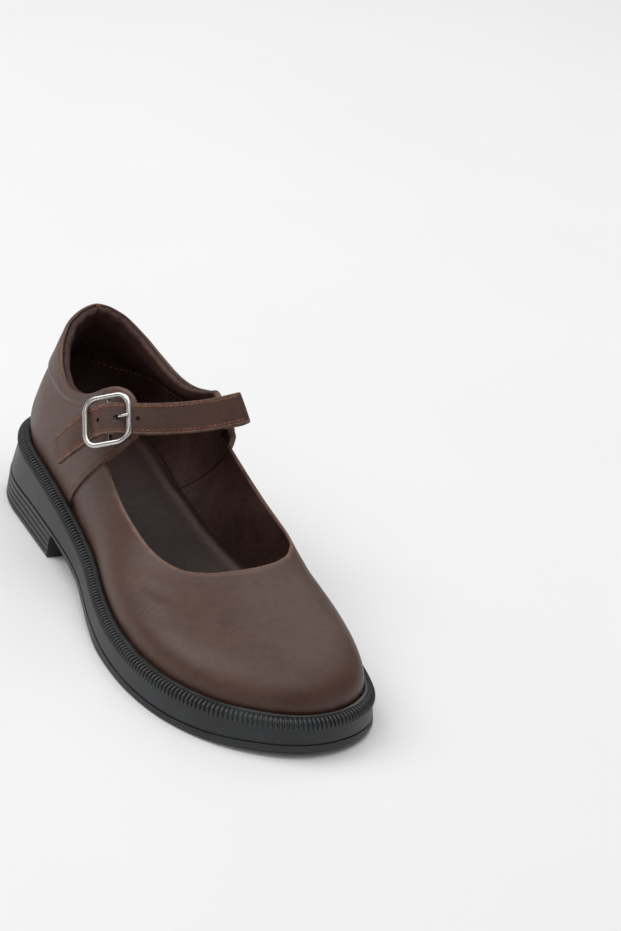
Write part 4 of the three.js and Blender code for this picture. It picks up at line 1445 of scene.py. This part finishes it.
    def collar(self) -> bpy.types.Object:
        """Makes the padded band over the collar, leather outside and lining inside."""
        form = self.bench.form
        reach = self.band_end[1]
        turn = np.linspace(-reach, reach, 300)
        seam = self._seam(turn)
        ends = smooth(reach - np.abs(turn), 0, 3.2)
        speed = self._speed(form.quarter, turn)
        end = 1 - 1.9 / speed
        rows = 26
        up = np.linspace(0, 1, rows)
        share = mix(seam[:, None] - 0.5 / speed[:, None], end[:, None], up[None, :])
        column = turn[:, None]
        here = form.quarter(column, share)
        normal = normals(form.quarter, column, share)
        swell = smooth((share - seam[:, None]) * speed[:, None], -0.6, 2.6)
        padded = mix(self.roll[0], sum(self.roll), self._collar(column, share))
        bulge = QUARTER_PROUD + 0.12 + swell * padded * ends[:, None]
        slow = 0.12 * np.sin(column / 3.1 + 2 * np.sin(share * 9)) * swell * ends[:, None]
        left = here + normal * (bulge + slow)[..., None]
        share_in = mix(seam[:, None] - 0.03, end[:, None], up[None, :])
        here_in = form.quarter(column, share_in)
        normal_in = normals(form.quarter, column, share_in)
        fade = np.sin(np.pi / 2 * up)[None, :]
        wave = np.sin(np.radians(column) * 66 + 1.6 * np.sin(column / 5) + share_in * 4)
        pucker = self.pucker * wave * np.exp(-((column / 24) ** 2))
        pucker = pucker - self.back_tuck * np.exp(-((column / 0.9) ** 2))
        pad = COLLAR_PAD * self._collar(column, share_in) * mix(0.4, 1, fade)
        depth = QUARTER_LINING + 0.35 * fade + pad + pucker * fade * mix(0.4, 1, up[None, :])
        right = here_in - normal_in * (depth * mix(0.8, 1, ends)[:, None])[..., None]
        crest = form.quarter(turn, np.ones_like(turn))
        lift = unit(crest - here[:, -1])
        height = np.linalg.norm(crest - here[:, -1], axis=-1)
        angle = np.linspace(0, np.pi, 19)[1:-1]
        half = (bulge[:, -1] + depth[:, -1]) / 2
        middle = (bulge[:, -1] - depth[:, -1]) / 2
        notch = self.top_notch * np.exp(-(((angle - 1.42) / 0.17) ** 2))
        notch = notch * mix(0.35, 1, ends)[:, None]
        cap = (
            here[:, -1][:, None]
            + normal[:, -1][:, None] * (middle[:, None] + half[:, None] * np.cos(angle))[..., None]
            + lift[:, None] * (height[:, None] * (np.sin(angle) ** 0.8) - notch)[..., None]
        )
        ring = np.concatenate([left, cap, right[:, ::-1]], axis=1)
        wear_and_highlight = np.zeros(ring.shape[:2])
        wear_and_highlight[:, rows : rows + 6] = 0.55
        wear_and_highlight[:, rows + 11 : rows + 18] = 0.5
        skin = Skin()
        grid = skin.add(ring, wear_and_highlight)
        looks = np.where(np.arange(ring.shape[1]) < rows + 7, 0, 1)
        looks[rows + 7 : rows + 9] = 2
        skin.net(grid, looks[None, :], round_columns=True)
        skin.cap(grid)
        return self.bench.make("collar_band", skin, [Look.BAND, Look.LINING, Look.DARK_EDGE], 55)

    def _line(self, turn: Array, t: Array, out: float) -> tuple[Array, Array]:
        """A line on the quarters, with its outward directions."""
        quarter = self.bench.form.quarter
        normal = normals(quarter, turn, t)
        return quarter(turn, t) + normal * out, normal

    def stitching(self, rods: Rods) -> bpy.types.Object:
        """Makes the thread rows of the quarters, ears and collar."""
        quarter = self.bench.form.quarter
        rows: list[tuple[Array, Array, float]] = []
        for sign, seam_turn, ear in ((1, OUTER_SEAM, 0.93), (-1, -INNER_SEAM, 0.9)):
            for inset, low, high in zip(self.seam_insets, (0.03, 0.7), (ear, ear - 0.04)):
                t = np.linspace(low, high, 90)
                base = np.full_like(t, seam_turn)
                width = np.linalg.norm(quarter(base, t) - quarter(base - sign, t), axis=-1)
                turn = base - sign * inset / width
                rows.append((*self._line(turn, t, QUARTER_PROUD), self.stitch_pitch))
            edge = np.linspace(sign * 51.5, turn[-1], 40)
            level = 1 - self.top_inset / self._speed(quarter, edge)
            rows.append((*self._line(edge, level, QUARTER_PROUD), self.stitch_pitch))
            band = np.linspace(sign * 33, sign * 58, 60)
            rows.append((*self._line(band, self._seam(band) - 0.016, QUARTER_PROUD), 2.4))
        inside = np.linspace(-46, -4, 80)
        line, out = self._line(inside, self._seam(inside) - 0.07, -QUARTER_LINING)
        rows.append((line, -out, 2.8))
        return stitched(rods, "upper_stitching", rows)

    def tacks(self, rods: Rods) -> bpy.types.Object:
        """Makes the knot at the collar's back and the bar tacks on the inner ear."""
        quarter = self.bench.form.quarter
        points, runs, outs = [], [], []
        top = quarter(0.0, 1.0)
        for i in range(3):
            points.append(top + np.array([0.8 * (i - 1), 0.5 * (i % 2), -0.05]))
            runs.append(np.array([0.4 * (i - 1), 1.0, 0.2]))
            outs.append(np.array([0.0, 0.2, 1.0]))
        edge = -INNER_SEAM + 2.2
        for i in range(6):
            t = 0.945 + 0.004 * i
            point, out = self._line(np.array(edge), np.array(t), QUARTER_PROUD + 0.1)
            points.append(point)
            runs.append(quarter(edge + 1, t) - quarter(edge, t))
            outs.append(out)
        lists = (np.stack(found) for found in (points, runs, outs))
        return rods.lay("bar_tacks", *lists, STITCH, Look.THREAD)


# Insole, strap and buckle


@dataclass
class Insole:
    """The leather insole with its raised inner edge, painted lighter along its ridge as a highlight.
    """

    bench: Bench
    thickness: float = 2.6
    edge: float = 0.4
    arch: float = 3.2
    dish: float = 0.8
    ridge: float = 0.9
    half: int = 180
    across: int = 40

    def body(self) -> bpy.types.Object:
        """Makes the insole."""
        plan = self.bench.plan
        count = 2 * self.half
        turn = np.arange(count) * 360 / count
        u = plan.forward(turn)
        share = quarterness(turn)
        lining = mix(VAMP_WALL, QUARTER_LINING, share)
        inset = -(WELT_LEDGE + GAP + QUARTER_PROUD * share + lining + self.edge)
        seat = plan.platform(u) + GAP
        skin = Skin()
        loops = []
        high = self.thickness
        for out, height in ((0, 0), (0, high - 0.7), (-0.2, high - 0.2), (-0.7, high)):
            loop = plan.offset(turn, inset + out)
            loop[:, 2] = seat + height
            loops.append(loop)
        grid = skin.add(np.stack(loops))
        skin.net(grid, 1, round_columns=True)
        skin.rung(grid[0], 1)
        rim = loops[-1]
        left = rim[: self.half + 1]
        right = np.roll(rim[::-1], 1, axis=0)[: self.half + 1]
        side = np.linspace(0, 1, self.across + 1)[None, :, None]
        top = mix(left[:, None], right[:, None], side)
        side = side[..., 0]
        forward = (LENGTH / 2 - top[..., 1]) / LENGTH
        arch = self.arch * np.exp(-(((forward - 0.4) / 0.17) ** 2))
        arch = arch * smooth(side, 0.3, 0.85) * (1 - smooth(side, 0.93, 1))
        ridge = self.ridge * np.exp(-(((side - 0.9) / 0.035) ** 2))
        ridge = ridge * smooth(forward, 0.12, 0.3) * (1 - smooth(forward, 0.6, 0.75))
        top[..., 2] += arch - self.dish * np.sin(np.pi * side) + ridge
        # Painted highlight: a lighter band along the raised ridge near the inner edge, standing in
        # for light falling on the ridge.
        wear_and_highlight = np.broadcast_to(0.6 * np.exp(-(((side - 0.9) / 0.04) ** 2)), top.shape[:2])
        skin.net(skin.add(top, wear_and_highlight))
        return self.bench.make("insole_pad", skin, [Look.INSOLE, Look.DARK_EDGE], 50)


@dataclass
class Strap:
    """The stitched instep strap with its holes and folded end."""

    bench: Bench
    width: float = 13.8
    thickness: float = 2.1
    corner: float = 0.5
    crown: float = 0.12
    tip: float = 1.6
    fold_radius: float = 2.2
    fold_closes: float = 8.0
    fold_back: float = 10.0
    fold_nip: float = 2.45
    holes: tuple[float, ...] = (31.9, 49.0)
    hole_radius: float = 0.95
    slot: tuple[float, float, float] = (40.5, 3.4, 2.1)
    stitch_inset: float = 1.75
    stitch_pitch: float = 2.45
    length: float = field(init=False)
    track: Track = field(init=False)

    def __post_init__(self) -> None:
        """Measures the strap's middle line."""
        rows = np.asarray(STRAP_ROWS, float)
        at = walked(rows[:, :3])
        self.length = float(at[-1])
        self.track = Track(np.hstack([at[:, None], rows]))

    def frame(self, s: Array) -> tuple[Array, Array, Array, Array]:
        """Point, width direction, outward direction and run at distances along the strap."""

        def point(at: Array) -> Array:
            value = self.track(at)
            return place(value[..., 0], value[..., 1], value[..., 2])

        value = np.radians(self.track(s)[..., 3:5])
        run = unit(point(s + 0.05) - point(s - 0.05))
        level = np.cos(value[..., 1])
        side, ahead = np.sin(value[..., 0]), np.cos(value[..., 0])
        out = np.stack([-level * side, -level * ahead, np.sin(value[..., 1])], axis=-1)
        out = unit(out - run * (out * run).sum(axis=-1, keepdims=True))
        return point(s), np.cross(run, out), out, run

    def _path(self) -> tuple[Array, Array, Array, Array]:
        """Points, width directions, outward directions and half widths, from tip to fold."""
        round_tip, rest = np.linspace(0, self.tip, 7), np.linspace(self.tip, self.length, 230)
        s = np.concatenate([round_tip[:-1], rest])
        at, across, out, _ = self.frame(s)
        half = np.full(len(s), self.width / 2)
        near = np.clip(self.tip - s, 0, self.tip)
        half -= self.tip - np.sqrt(np.maximum(self.tip**2 - near**2, 0.0))
        end_at, end_across, end_out, end_run = self.frame(np.array(self.length))
        angle = np.linspace(0, np.pi, 21)[1:, None]
        bend = end_run * np.sin(angle) - end_out * (1 - np.cos(angle))
        bend = end_at + bend * self.fold_radius
        bend_out = end_out * np.cos(angle) + end_run * np.sin(angle)
        back = np.linspace(0, self.fold_back, 25)[1:]
        over_at, over_across, over_out, _ = self.frame(self.length - back)
        open_fold = 2 * self.fold_radius
        depth = mix(open_fold, self.fold_nip, smooth(back, 0, self.fold_closes))
        points = np.concatenate([at, bend, over_at - over_out * depth[:, None]])
        widths = np.concatenate([across, np.tile(end_across, (len(angle), 1)), over_across])
        outs = np.concatenate([out, bend_out, -over_out])
        halves = np.concatenate([half, np.full(len(angle) + len(back), self.width / 2)])
        return points, widths, outs, halves

    def body(self) -> bpy.types.Object:
        """Makes the strap, with a fine seam round its cut edge, and punches its holes."""
        points, widths, outs, halves = self._path()
        t, r = self.thickness / 2, self.corner
        turn = np.radians(np.linspace(0, 90, 5))
        corner = [(np.sin(a) - 1, np.cos(a) - 1) for a in turn]
        # across as a part of the half width, across in millimetres, out in millimetres, look
        flat = [(share, 0.0, t, 0) for share in (-0.8, -0.4, 0.0, 0.4, 0.8)]
        right = [(1.0, r * a, t + r * b, 1) for a, b in corner]
        right += [(1.0, 0.0, 0.22, 1), (1.0, -0.16, 0.0, 2), (1.0, 0.0, -0.22, 1)]
        right += [(1.0, r * a, -t - r * b, 1) for a, b in corner[::-1]]
        under = [(share, 0.0, -t, 2) for share in (0.8, 0.4, 0.0, -0.4, -0.8)]
        left = [(-share, -a, b, look) for share, a, b, look in right[::-1]]
        section = flat + right + under + left
        look = np.array([part[3] for part in section])
        shares, sides, heights = (np.array([part[i] for part in section]) for i in range(3))
        crown = np.where(heights > 0, self.crown * (1 - shares**2), 0)
        ring = (
            points[:, None]
            + widths[:, None] * (halves[:, None] * shares + sides)[..., None]
            + outs[:, None] * (heights + crown)[:, None]
        )
        wear_and_highlight = np.where((look == 1) & (heights > 0), 0.9, 0.0)
        skin = Skin()
        grid = skin.add(ring, np.tile(wear_and_highlight, (len(points), 1)))
        skin.net(grid, look[None, :], round_columns=True)
        skin.cap(grid, 1)
        looks = [Look.STRAP, Look.EDGE, Look.DARK_EDGE]
        strap = self.bench.make("strap", skin, looks, 50)
        return self.bench.cut(strap, self._punches(), 45)

    def _punches(self) -> list[bpy.types.Object]:
        """Tools for the round holes and the prong's slot."""
        tools = []
        for i, s in enumerate(self.holes):
            at, across, out, _ = self.frame(np.array(s))
            skin = Skin()
            tube(skin, np.stack([at + out * 2.2, at - out * 2.2]), self.hole_radius, 24, across)
            tools.append(self.bench.make(f"punch_{i}", skin, [Look.DARK_EDGE]))
        s, length, width = self.slot
        at, across, out, run = self.frame(np.array(s))
        skin = Skin()
        angle = np.arange(24) * 2 * np.pi / 24
        size = np.stack([np.cos(angle), np.sin(angle)], axis=-1)
        size = np.sign(size) * np.abs(size) ** 0.5 * np.array([length / 2, width / 2])
        loop = at + run * size[:, :1] + across * size[:, 1:]
        skin.rod(np.stack([loop - out * 2.4, loop + out * 2.4]))
        tools.append(self.bench.make("punch_slot", skin, [Look.DARK_EDGE]))
        return tools

    def stitching(self, rods: Rods) -> bpy.types.Object:
        """Makes the thread rows along both edges and across the tip."""
        inset = self.width / 2 - self.stitch_inset
        lift = self.thickness / 2 + 0.05
        rows = []
        for sign in (-1, 1):
            at, across, out, _ = self.frame(np.linspace(self.stitch_inset, self.length - 0.8, 220))
            rows.append((at + across * sign * inset + out * lift, out, self.stitch_pitch))
        at, across, out, _ = self.frame(np.full(12, self.stitch_inset))
        side = np.linspace(-inset + 0.6, inset - 0.6, 12)[:, None]
        rows.append((at + across * side + out * lift, out, self.stitch_pitch))
        return stitched(rods, "strap_stitching", rows)


@dataclass
class Tab:
    """The dark tab that holds the strap's folded end to the inner ear."""

    bench: Bench
    strap: Strap
    width: float = 9.0
    thickness: float = 1.2
    corner: float = 0.25
    drop: float = 4.45
    flat: tuple[float, float] = (13.0, 8.6)
    flat_steps: int = 8
    bent_steps: int = 40
    reach: float = 2.5
    lift: float = 6.0
    inside: float = 3.0
    turn: float = -60.5
    share: float = 0.8

    def _ear(self, turn: float, share: float) -> Array:
        """A point of the ear, near the tab's end."""
        return self.bench.form.quarter(self.turn + turn, self.share + share)

    def _path(self) -> tuple[Array, Array, Array]:
        """Points, width directions and outward directions from under the fold to the ear."""
        back = np.linspace(*self.flat, self.flat_steps)
        at, across, out, run = self.strap.frame(self.strap.length - back)
        points = at - out * self.drop
        along = unit(self._ear(-1, 0) - self._ear(1, 0))
        up = unit(self._ear(0, 0.02) - self._ear(0, -0.02))
        start = points[-1]
        end = self._ear(0, 0) + unit(np.cross(along, up)) * self.inside
        t = np.linspace(0, 1, self.bent_steps + 1)[1:, None]
        hooks = start, start + run[-1] * self.reach, end + up * self.lift, end
        points = np.concatenate([points, bezier(hooks, t)])
        tangent = unit(np.gradient(points, axis=0))
        turned = along if along @ across[-1] > 0 else -along
        share = np.concatenate([np.zeros(self.flat_steps), t[:, 0]])[:, None]
        width = mix(across[-1], turned, share)
        width = unit(width - tangent * (width * tangent).sum(axis=-1, keepdims=True))
        return points, width, np.cross(tangent, width)

    def body(self) -> bpy.types.Object:
        """Makes the tab."""
        points, widths, outs = self._path()
        half, thick, radius = self.width / 2, self.thickness / 2, self.corner
        turn = np.radians(np.linspace(0, 90, 4))
        wide, high = half - radius + radius * np.sin(turn), thick - radius + radius * np.cos(turn)
        corner = list(zip(wide, high))
        face = [(share * half, thick) for share in (-0.6, -0.2, 0.2, 0.6)]
        right = corner + [(a, -b) for a, b in corner[::-1]]
        section = np.array(face + right + [(-a, -b) for a, b in face + right])
        ring = points[:, None] + widths[:, None] * section[:, :1] + outs[:, None] * section[:, 1:]
        skin = Skin()
        skin.rod(ring)
        return self.bench.make("tab", skin, [Look.INSOLE], 45)


@dataclass
class Buckle:
    """The squared buckle with its middle bar and prong."""

    bench: Bench
    middle: tuple[float, float, float] = (-34.0, 112.3, 79.6)
    along_line: tuple[float, float, float] = (-6.6, -6.7, -4.7)
    across_line: tuple[float, float, float] = (-1.4, 7.2, -7.6)
    half: float = 10.4
    corner: float = 5.5
    wire: float = 1.2
    bar_drop: float = 2.6
    prong_radius: float = 0.7
    clear: float = 0.25
    along: Array = field(init=False)
    across: Array = field(init=False)
    out: Array = field(init=False)

    def __post_init__(self) -> None:
        """Squares up the buckle's axes."""
        lines = self.along_line, self.across_line
        self.along, across = (unit(np.array([x, -u, z])) for x, u, z in lines)
        self.across = unit(across - self.along * (across @ self.along))
        self.out = np.cross(self.along, self.across)

    def at(self, a: Array | float, b: Array | float, c: Array | float) -> Array:
        """Points on the buckle's own axes."""
        a, b, c = np.broadcast_arrays(*(np.asarray(v, float) for v in (a, b, c)))
        middle = place(*self.middle)
        axes = (a, self.along), (b, self.across), (c, self.out)
        return middle + sum(value[..., None] * axis for value, axis in axes)

    def frame(self) -> bpy.types.Object:
        """Makes the frame and its middle bar."""
        reach = self.half - self.corner
        corners = ((1, 1), (-1, 1), (-1, -1), (1, -1))
        path = []
        for quarter, (a, b) in enumerate(corners):
            for step in range(13):
                angle = math.pi / 2 * (quarter + step / 12)
                turned = math.cos(angle), math.sin(angle)
                path.append([c * reach + self.corner * t for c, t in zip((a, b), turned)])
        flat = np.array(path)
        skin = Skin()
        tube(skin, self.at(flat[:, 0], flat[:, 1], 0.0), self.wire, 20, self.out, ring=True)
        end = self.half - 0.2
        bent = end - 2.2
        drop = -self.bar_drop
        stops = Track([[0, -end, 0], [1, -bent, drop], [2, bent, drop], [3, end, 0]])
        line = stops(np.concatenate([np.linspace(0, 1, 5), [1.5], np.linspace(2, 3, 5)]))
        line[:, 1] = np.maximum(line[:, 1], drop)
        tube(skin, self.at(0.0, line[:, 0], line[:, 1]), self.wire * 0.75, 16, self.along)
        return self.bench.make("frame_of_buckle", skin, [Look.STEEL], 60)

    def prong(self) -> bpy.types.Object:
        """Makes the prong, its eye round the middle bar."""
        bend = self.wire * 0.75 + self.clear + self.prong_radius
        angle = np.radians(np.linspace(340, 90, 26))
        eye = np.stack([bend * np.cos(angle), -self.bar_drop + bend * np.sin(angle)], axis=-1)
        rest = self.wire + self.clear + self.prong_radius
        rows = [
            [0, *eye[-1]],
            [1, -3.4, -0.9],
            [2, -4.8, -0.2],
            [3, -6.4, 1.3],
            [4, -7.6, rest - 0.2],
            [5, -9, rest],
            [6, -self.half - 1.2, rest],
        ]
        tongue = Track(rows)(np.linspace(0, 6, 40))[1:]
        line = np.concatenate([eye, tongue])
        radius = np.full(len(line), self.prong_radius)
        radius[-3:] *= (0.93, 0.8, 0.5)
        skin = Skin()
        tube(skin, self.at(line[:, 0], 0.0, line[:, 1]), radius, 14, self.across)
        return self.bench.make("prong", skin, [Look.STEEL], 60)


# Studio


@dataclass
class Studio:
    """The photograph's plain floor, soft light and camera."""

    bench: Bench
    azimuth: float = -29.81
    elevation: float = 24.05
    roll: float = 9.95
    focal: float = 3195.02
    picture_height: float = 931.0
    sensor: float = 36.0
    place_mm: tuple[float, float, float] = (-570.996, -1093.974, 625.735)
    floor_radius: float = 4.0
    surround: float = 0.26
    # name, place, size and power of each soft light
    lamps: tuple[tuple[str, tuple[float, float, float], float, float], ...] = (
        ("key", (-1.2, 0.9, 1.8), 1.6, 22.0),
        ("top", (0.2, -0.1, 2.4), 2.4, 24.0),
        ("fill", (-1.5, -1.2, 1.6), 1.4, 6.0),
        ("rim", (0.9, 0.9, 1.1), 0.9, 3.0),
    )

    def camera(self) -> None:
        """Sets the camera at the photograph's place, with its roll."""
        az, el, roll = (math.radians(v) for v in (self.azimuth, self.elevation, self.roll))
        level = math.cos(el)
        back = Vector((math.sin(az) * level, -math.cos(az) * level, math.sin(el)))
        right = (-back).cross(Vector((0, 0, 1))).normalized()
        up = right.cross(-back)
        turned = math.cos(roll) * right + math.sin(roll) * up
        raised = -math.sin(roll) * right + math.cos(roll) * up
        lens = bpy.data.cameras.new("camera")
        lens.sensor_fit = "AUTO"
        lens.sensor_width = self.sensor
        lens.lens = self.sensor * self.focal / self.picture_height
        lens.clip_start = 0.05
        lens.clip_end = 50.0
        camera = bpy.data.objects.new("camera", lens)
        basis = Matrix((turned, raised, back)).transposed().to_4x4()
        basis.translation = Vector(self.bench.metres(np.array(self.place_mm)).tolist())
        camera.matrix_world = basis
        bpy.context.scene.collection.objects.link(camera)
        bpy.context.scene.camera = camera

    def floor(self) -> None:
        """Lays a wide pale floor."""
        mesh = bpy.data.meshes.new("floor")
        turns = np.linspace(0, 2 * math.pi, 65)[:-1]
        r = self.floor_radius
        rim = [(r * math.cos(a), r * math.sin(a), 0.0) for a in turns]
        mesh.from_pydata(rim, [], [list(range(len(rim)))])
        floor = bpy.data.objects.new("floor", mesh)
        k = Knots("floor_paper")
        tone = k.span(k.noise(6, 2, 0.5), 0.3, 0.7)
        mesh.materials.append(k.done(k.blend(tone, (246, 246, 246), (248, 248, 248)), 0.9))
        bpy.context.scene.collection.objects.link(floor)

    def light(self) -> None:
        """Hangs soft lights and a pale surround."""
        scene = bpy.context.scene
        scene.view_settings.view_transform = "Standard"
        world = bpy.data.worlds.new("surround")
        world.use_nodes = True
        background = world.node_tree.nodes["Background"]
        background.inputs["Color"].default_value = (1, 1, 1, 1)
        background.inputs["Strength"].default_value = self.surround
        scene.world = world
        for name, spot, size, power in self.lamps:
            lamp = bpy.data.lights.new(name, "AREA")
            lamp.shape = "DISK"
            lamp.size = size
            lamp.energy = power
            piece = bpy.data.objects.new(name, lamp)
            piece.location = spot
            aim = Vector(spot) - Vector((0, 0, 0.05))
            piece.rotation_euler = aim.to_track_quat("Z", "Y").to_euler()
            scene.collection.objects.link(piece)


# Assembly


def dress(piece: bpy.types.Object, slot: str, *nodes: str) -> None:
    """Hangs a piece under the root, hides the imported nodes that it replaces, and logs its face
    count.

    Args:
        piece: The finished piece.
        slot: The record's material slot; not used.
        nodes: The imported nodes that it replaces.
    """
    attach(piece, "root")
    if nodes:
        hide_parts(*nodes)
    LOG.info("%s: %d faces", piece.name, len(piece.data.polygons))


def main() -> None:
    """Builds the shoe, class by class."""
    logging.basicConfig(level=logging.INFO, format="%(name)s %(message)s")
    bench = Bench()
    rods = Rods(bench)
    studio = Studio(bench)
    studio.camera()
    studio.floor()
    studio.light()
    sole = Sole(bench)
    dress(sole.body(), "sole_rubber", "sole_unit")
    dress(sole.ribs(rods), "sole_rubber")
    upper = Upper(bench)
    dress(upper.quarters(), "upper_leather", "upper")
    dress(upper.vamp(), "upper_leather")
    collar = upper.collar()
    dress(collar, "upper_leather")
    dress(upper.stitching(rods), "upper_leather")
    dress(upper.tacks(rods), "upper_leather")
    dress(Insole(bench).body(), "insole_leather", "insole")
    strap = Strap(bench)
    dress(strap.body(), "strap_leather", "instep_strap")
    dress(strap.stitching(rods), "strap_leather")
    dress(Tab(bench, strap).body(), "insole_leather", "strap_tab")
    buckle = Buckle(bench)
    dress(buckle.frame(), "buckle_metal", "buckle_frame")
    dress(buckle.prong(), "buckle_metal", "buckle_prong")


if __name__ == "__main__":
    main()
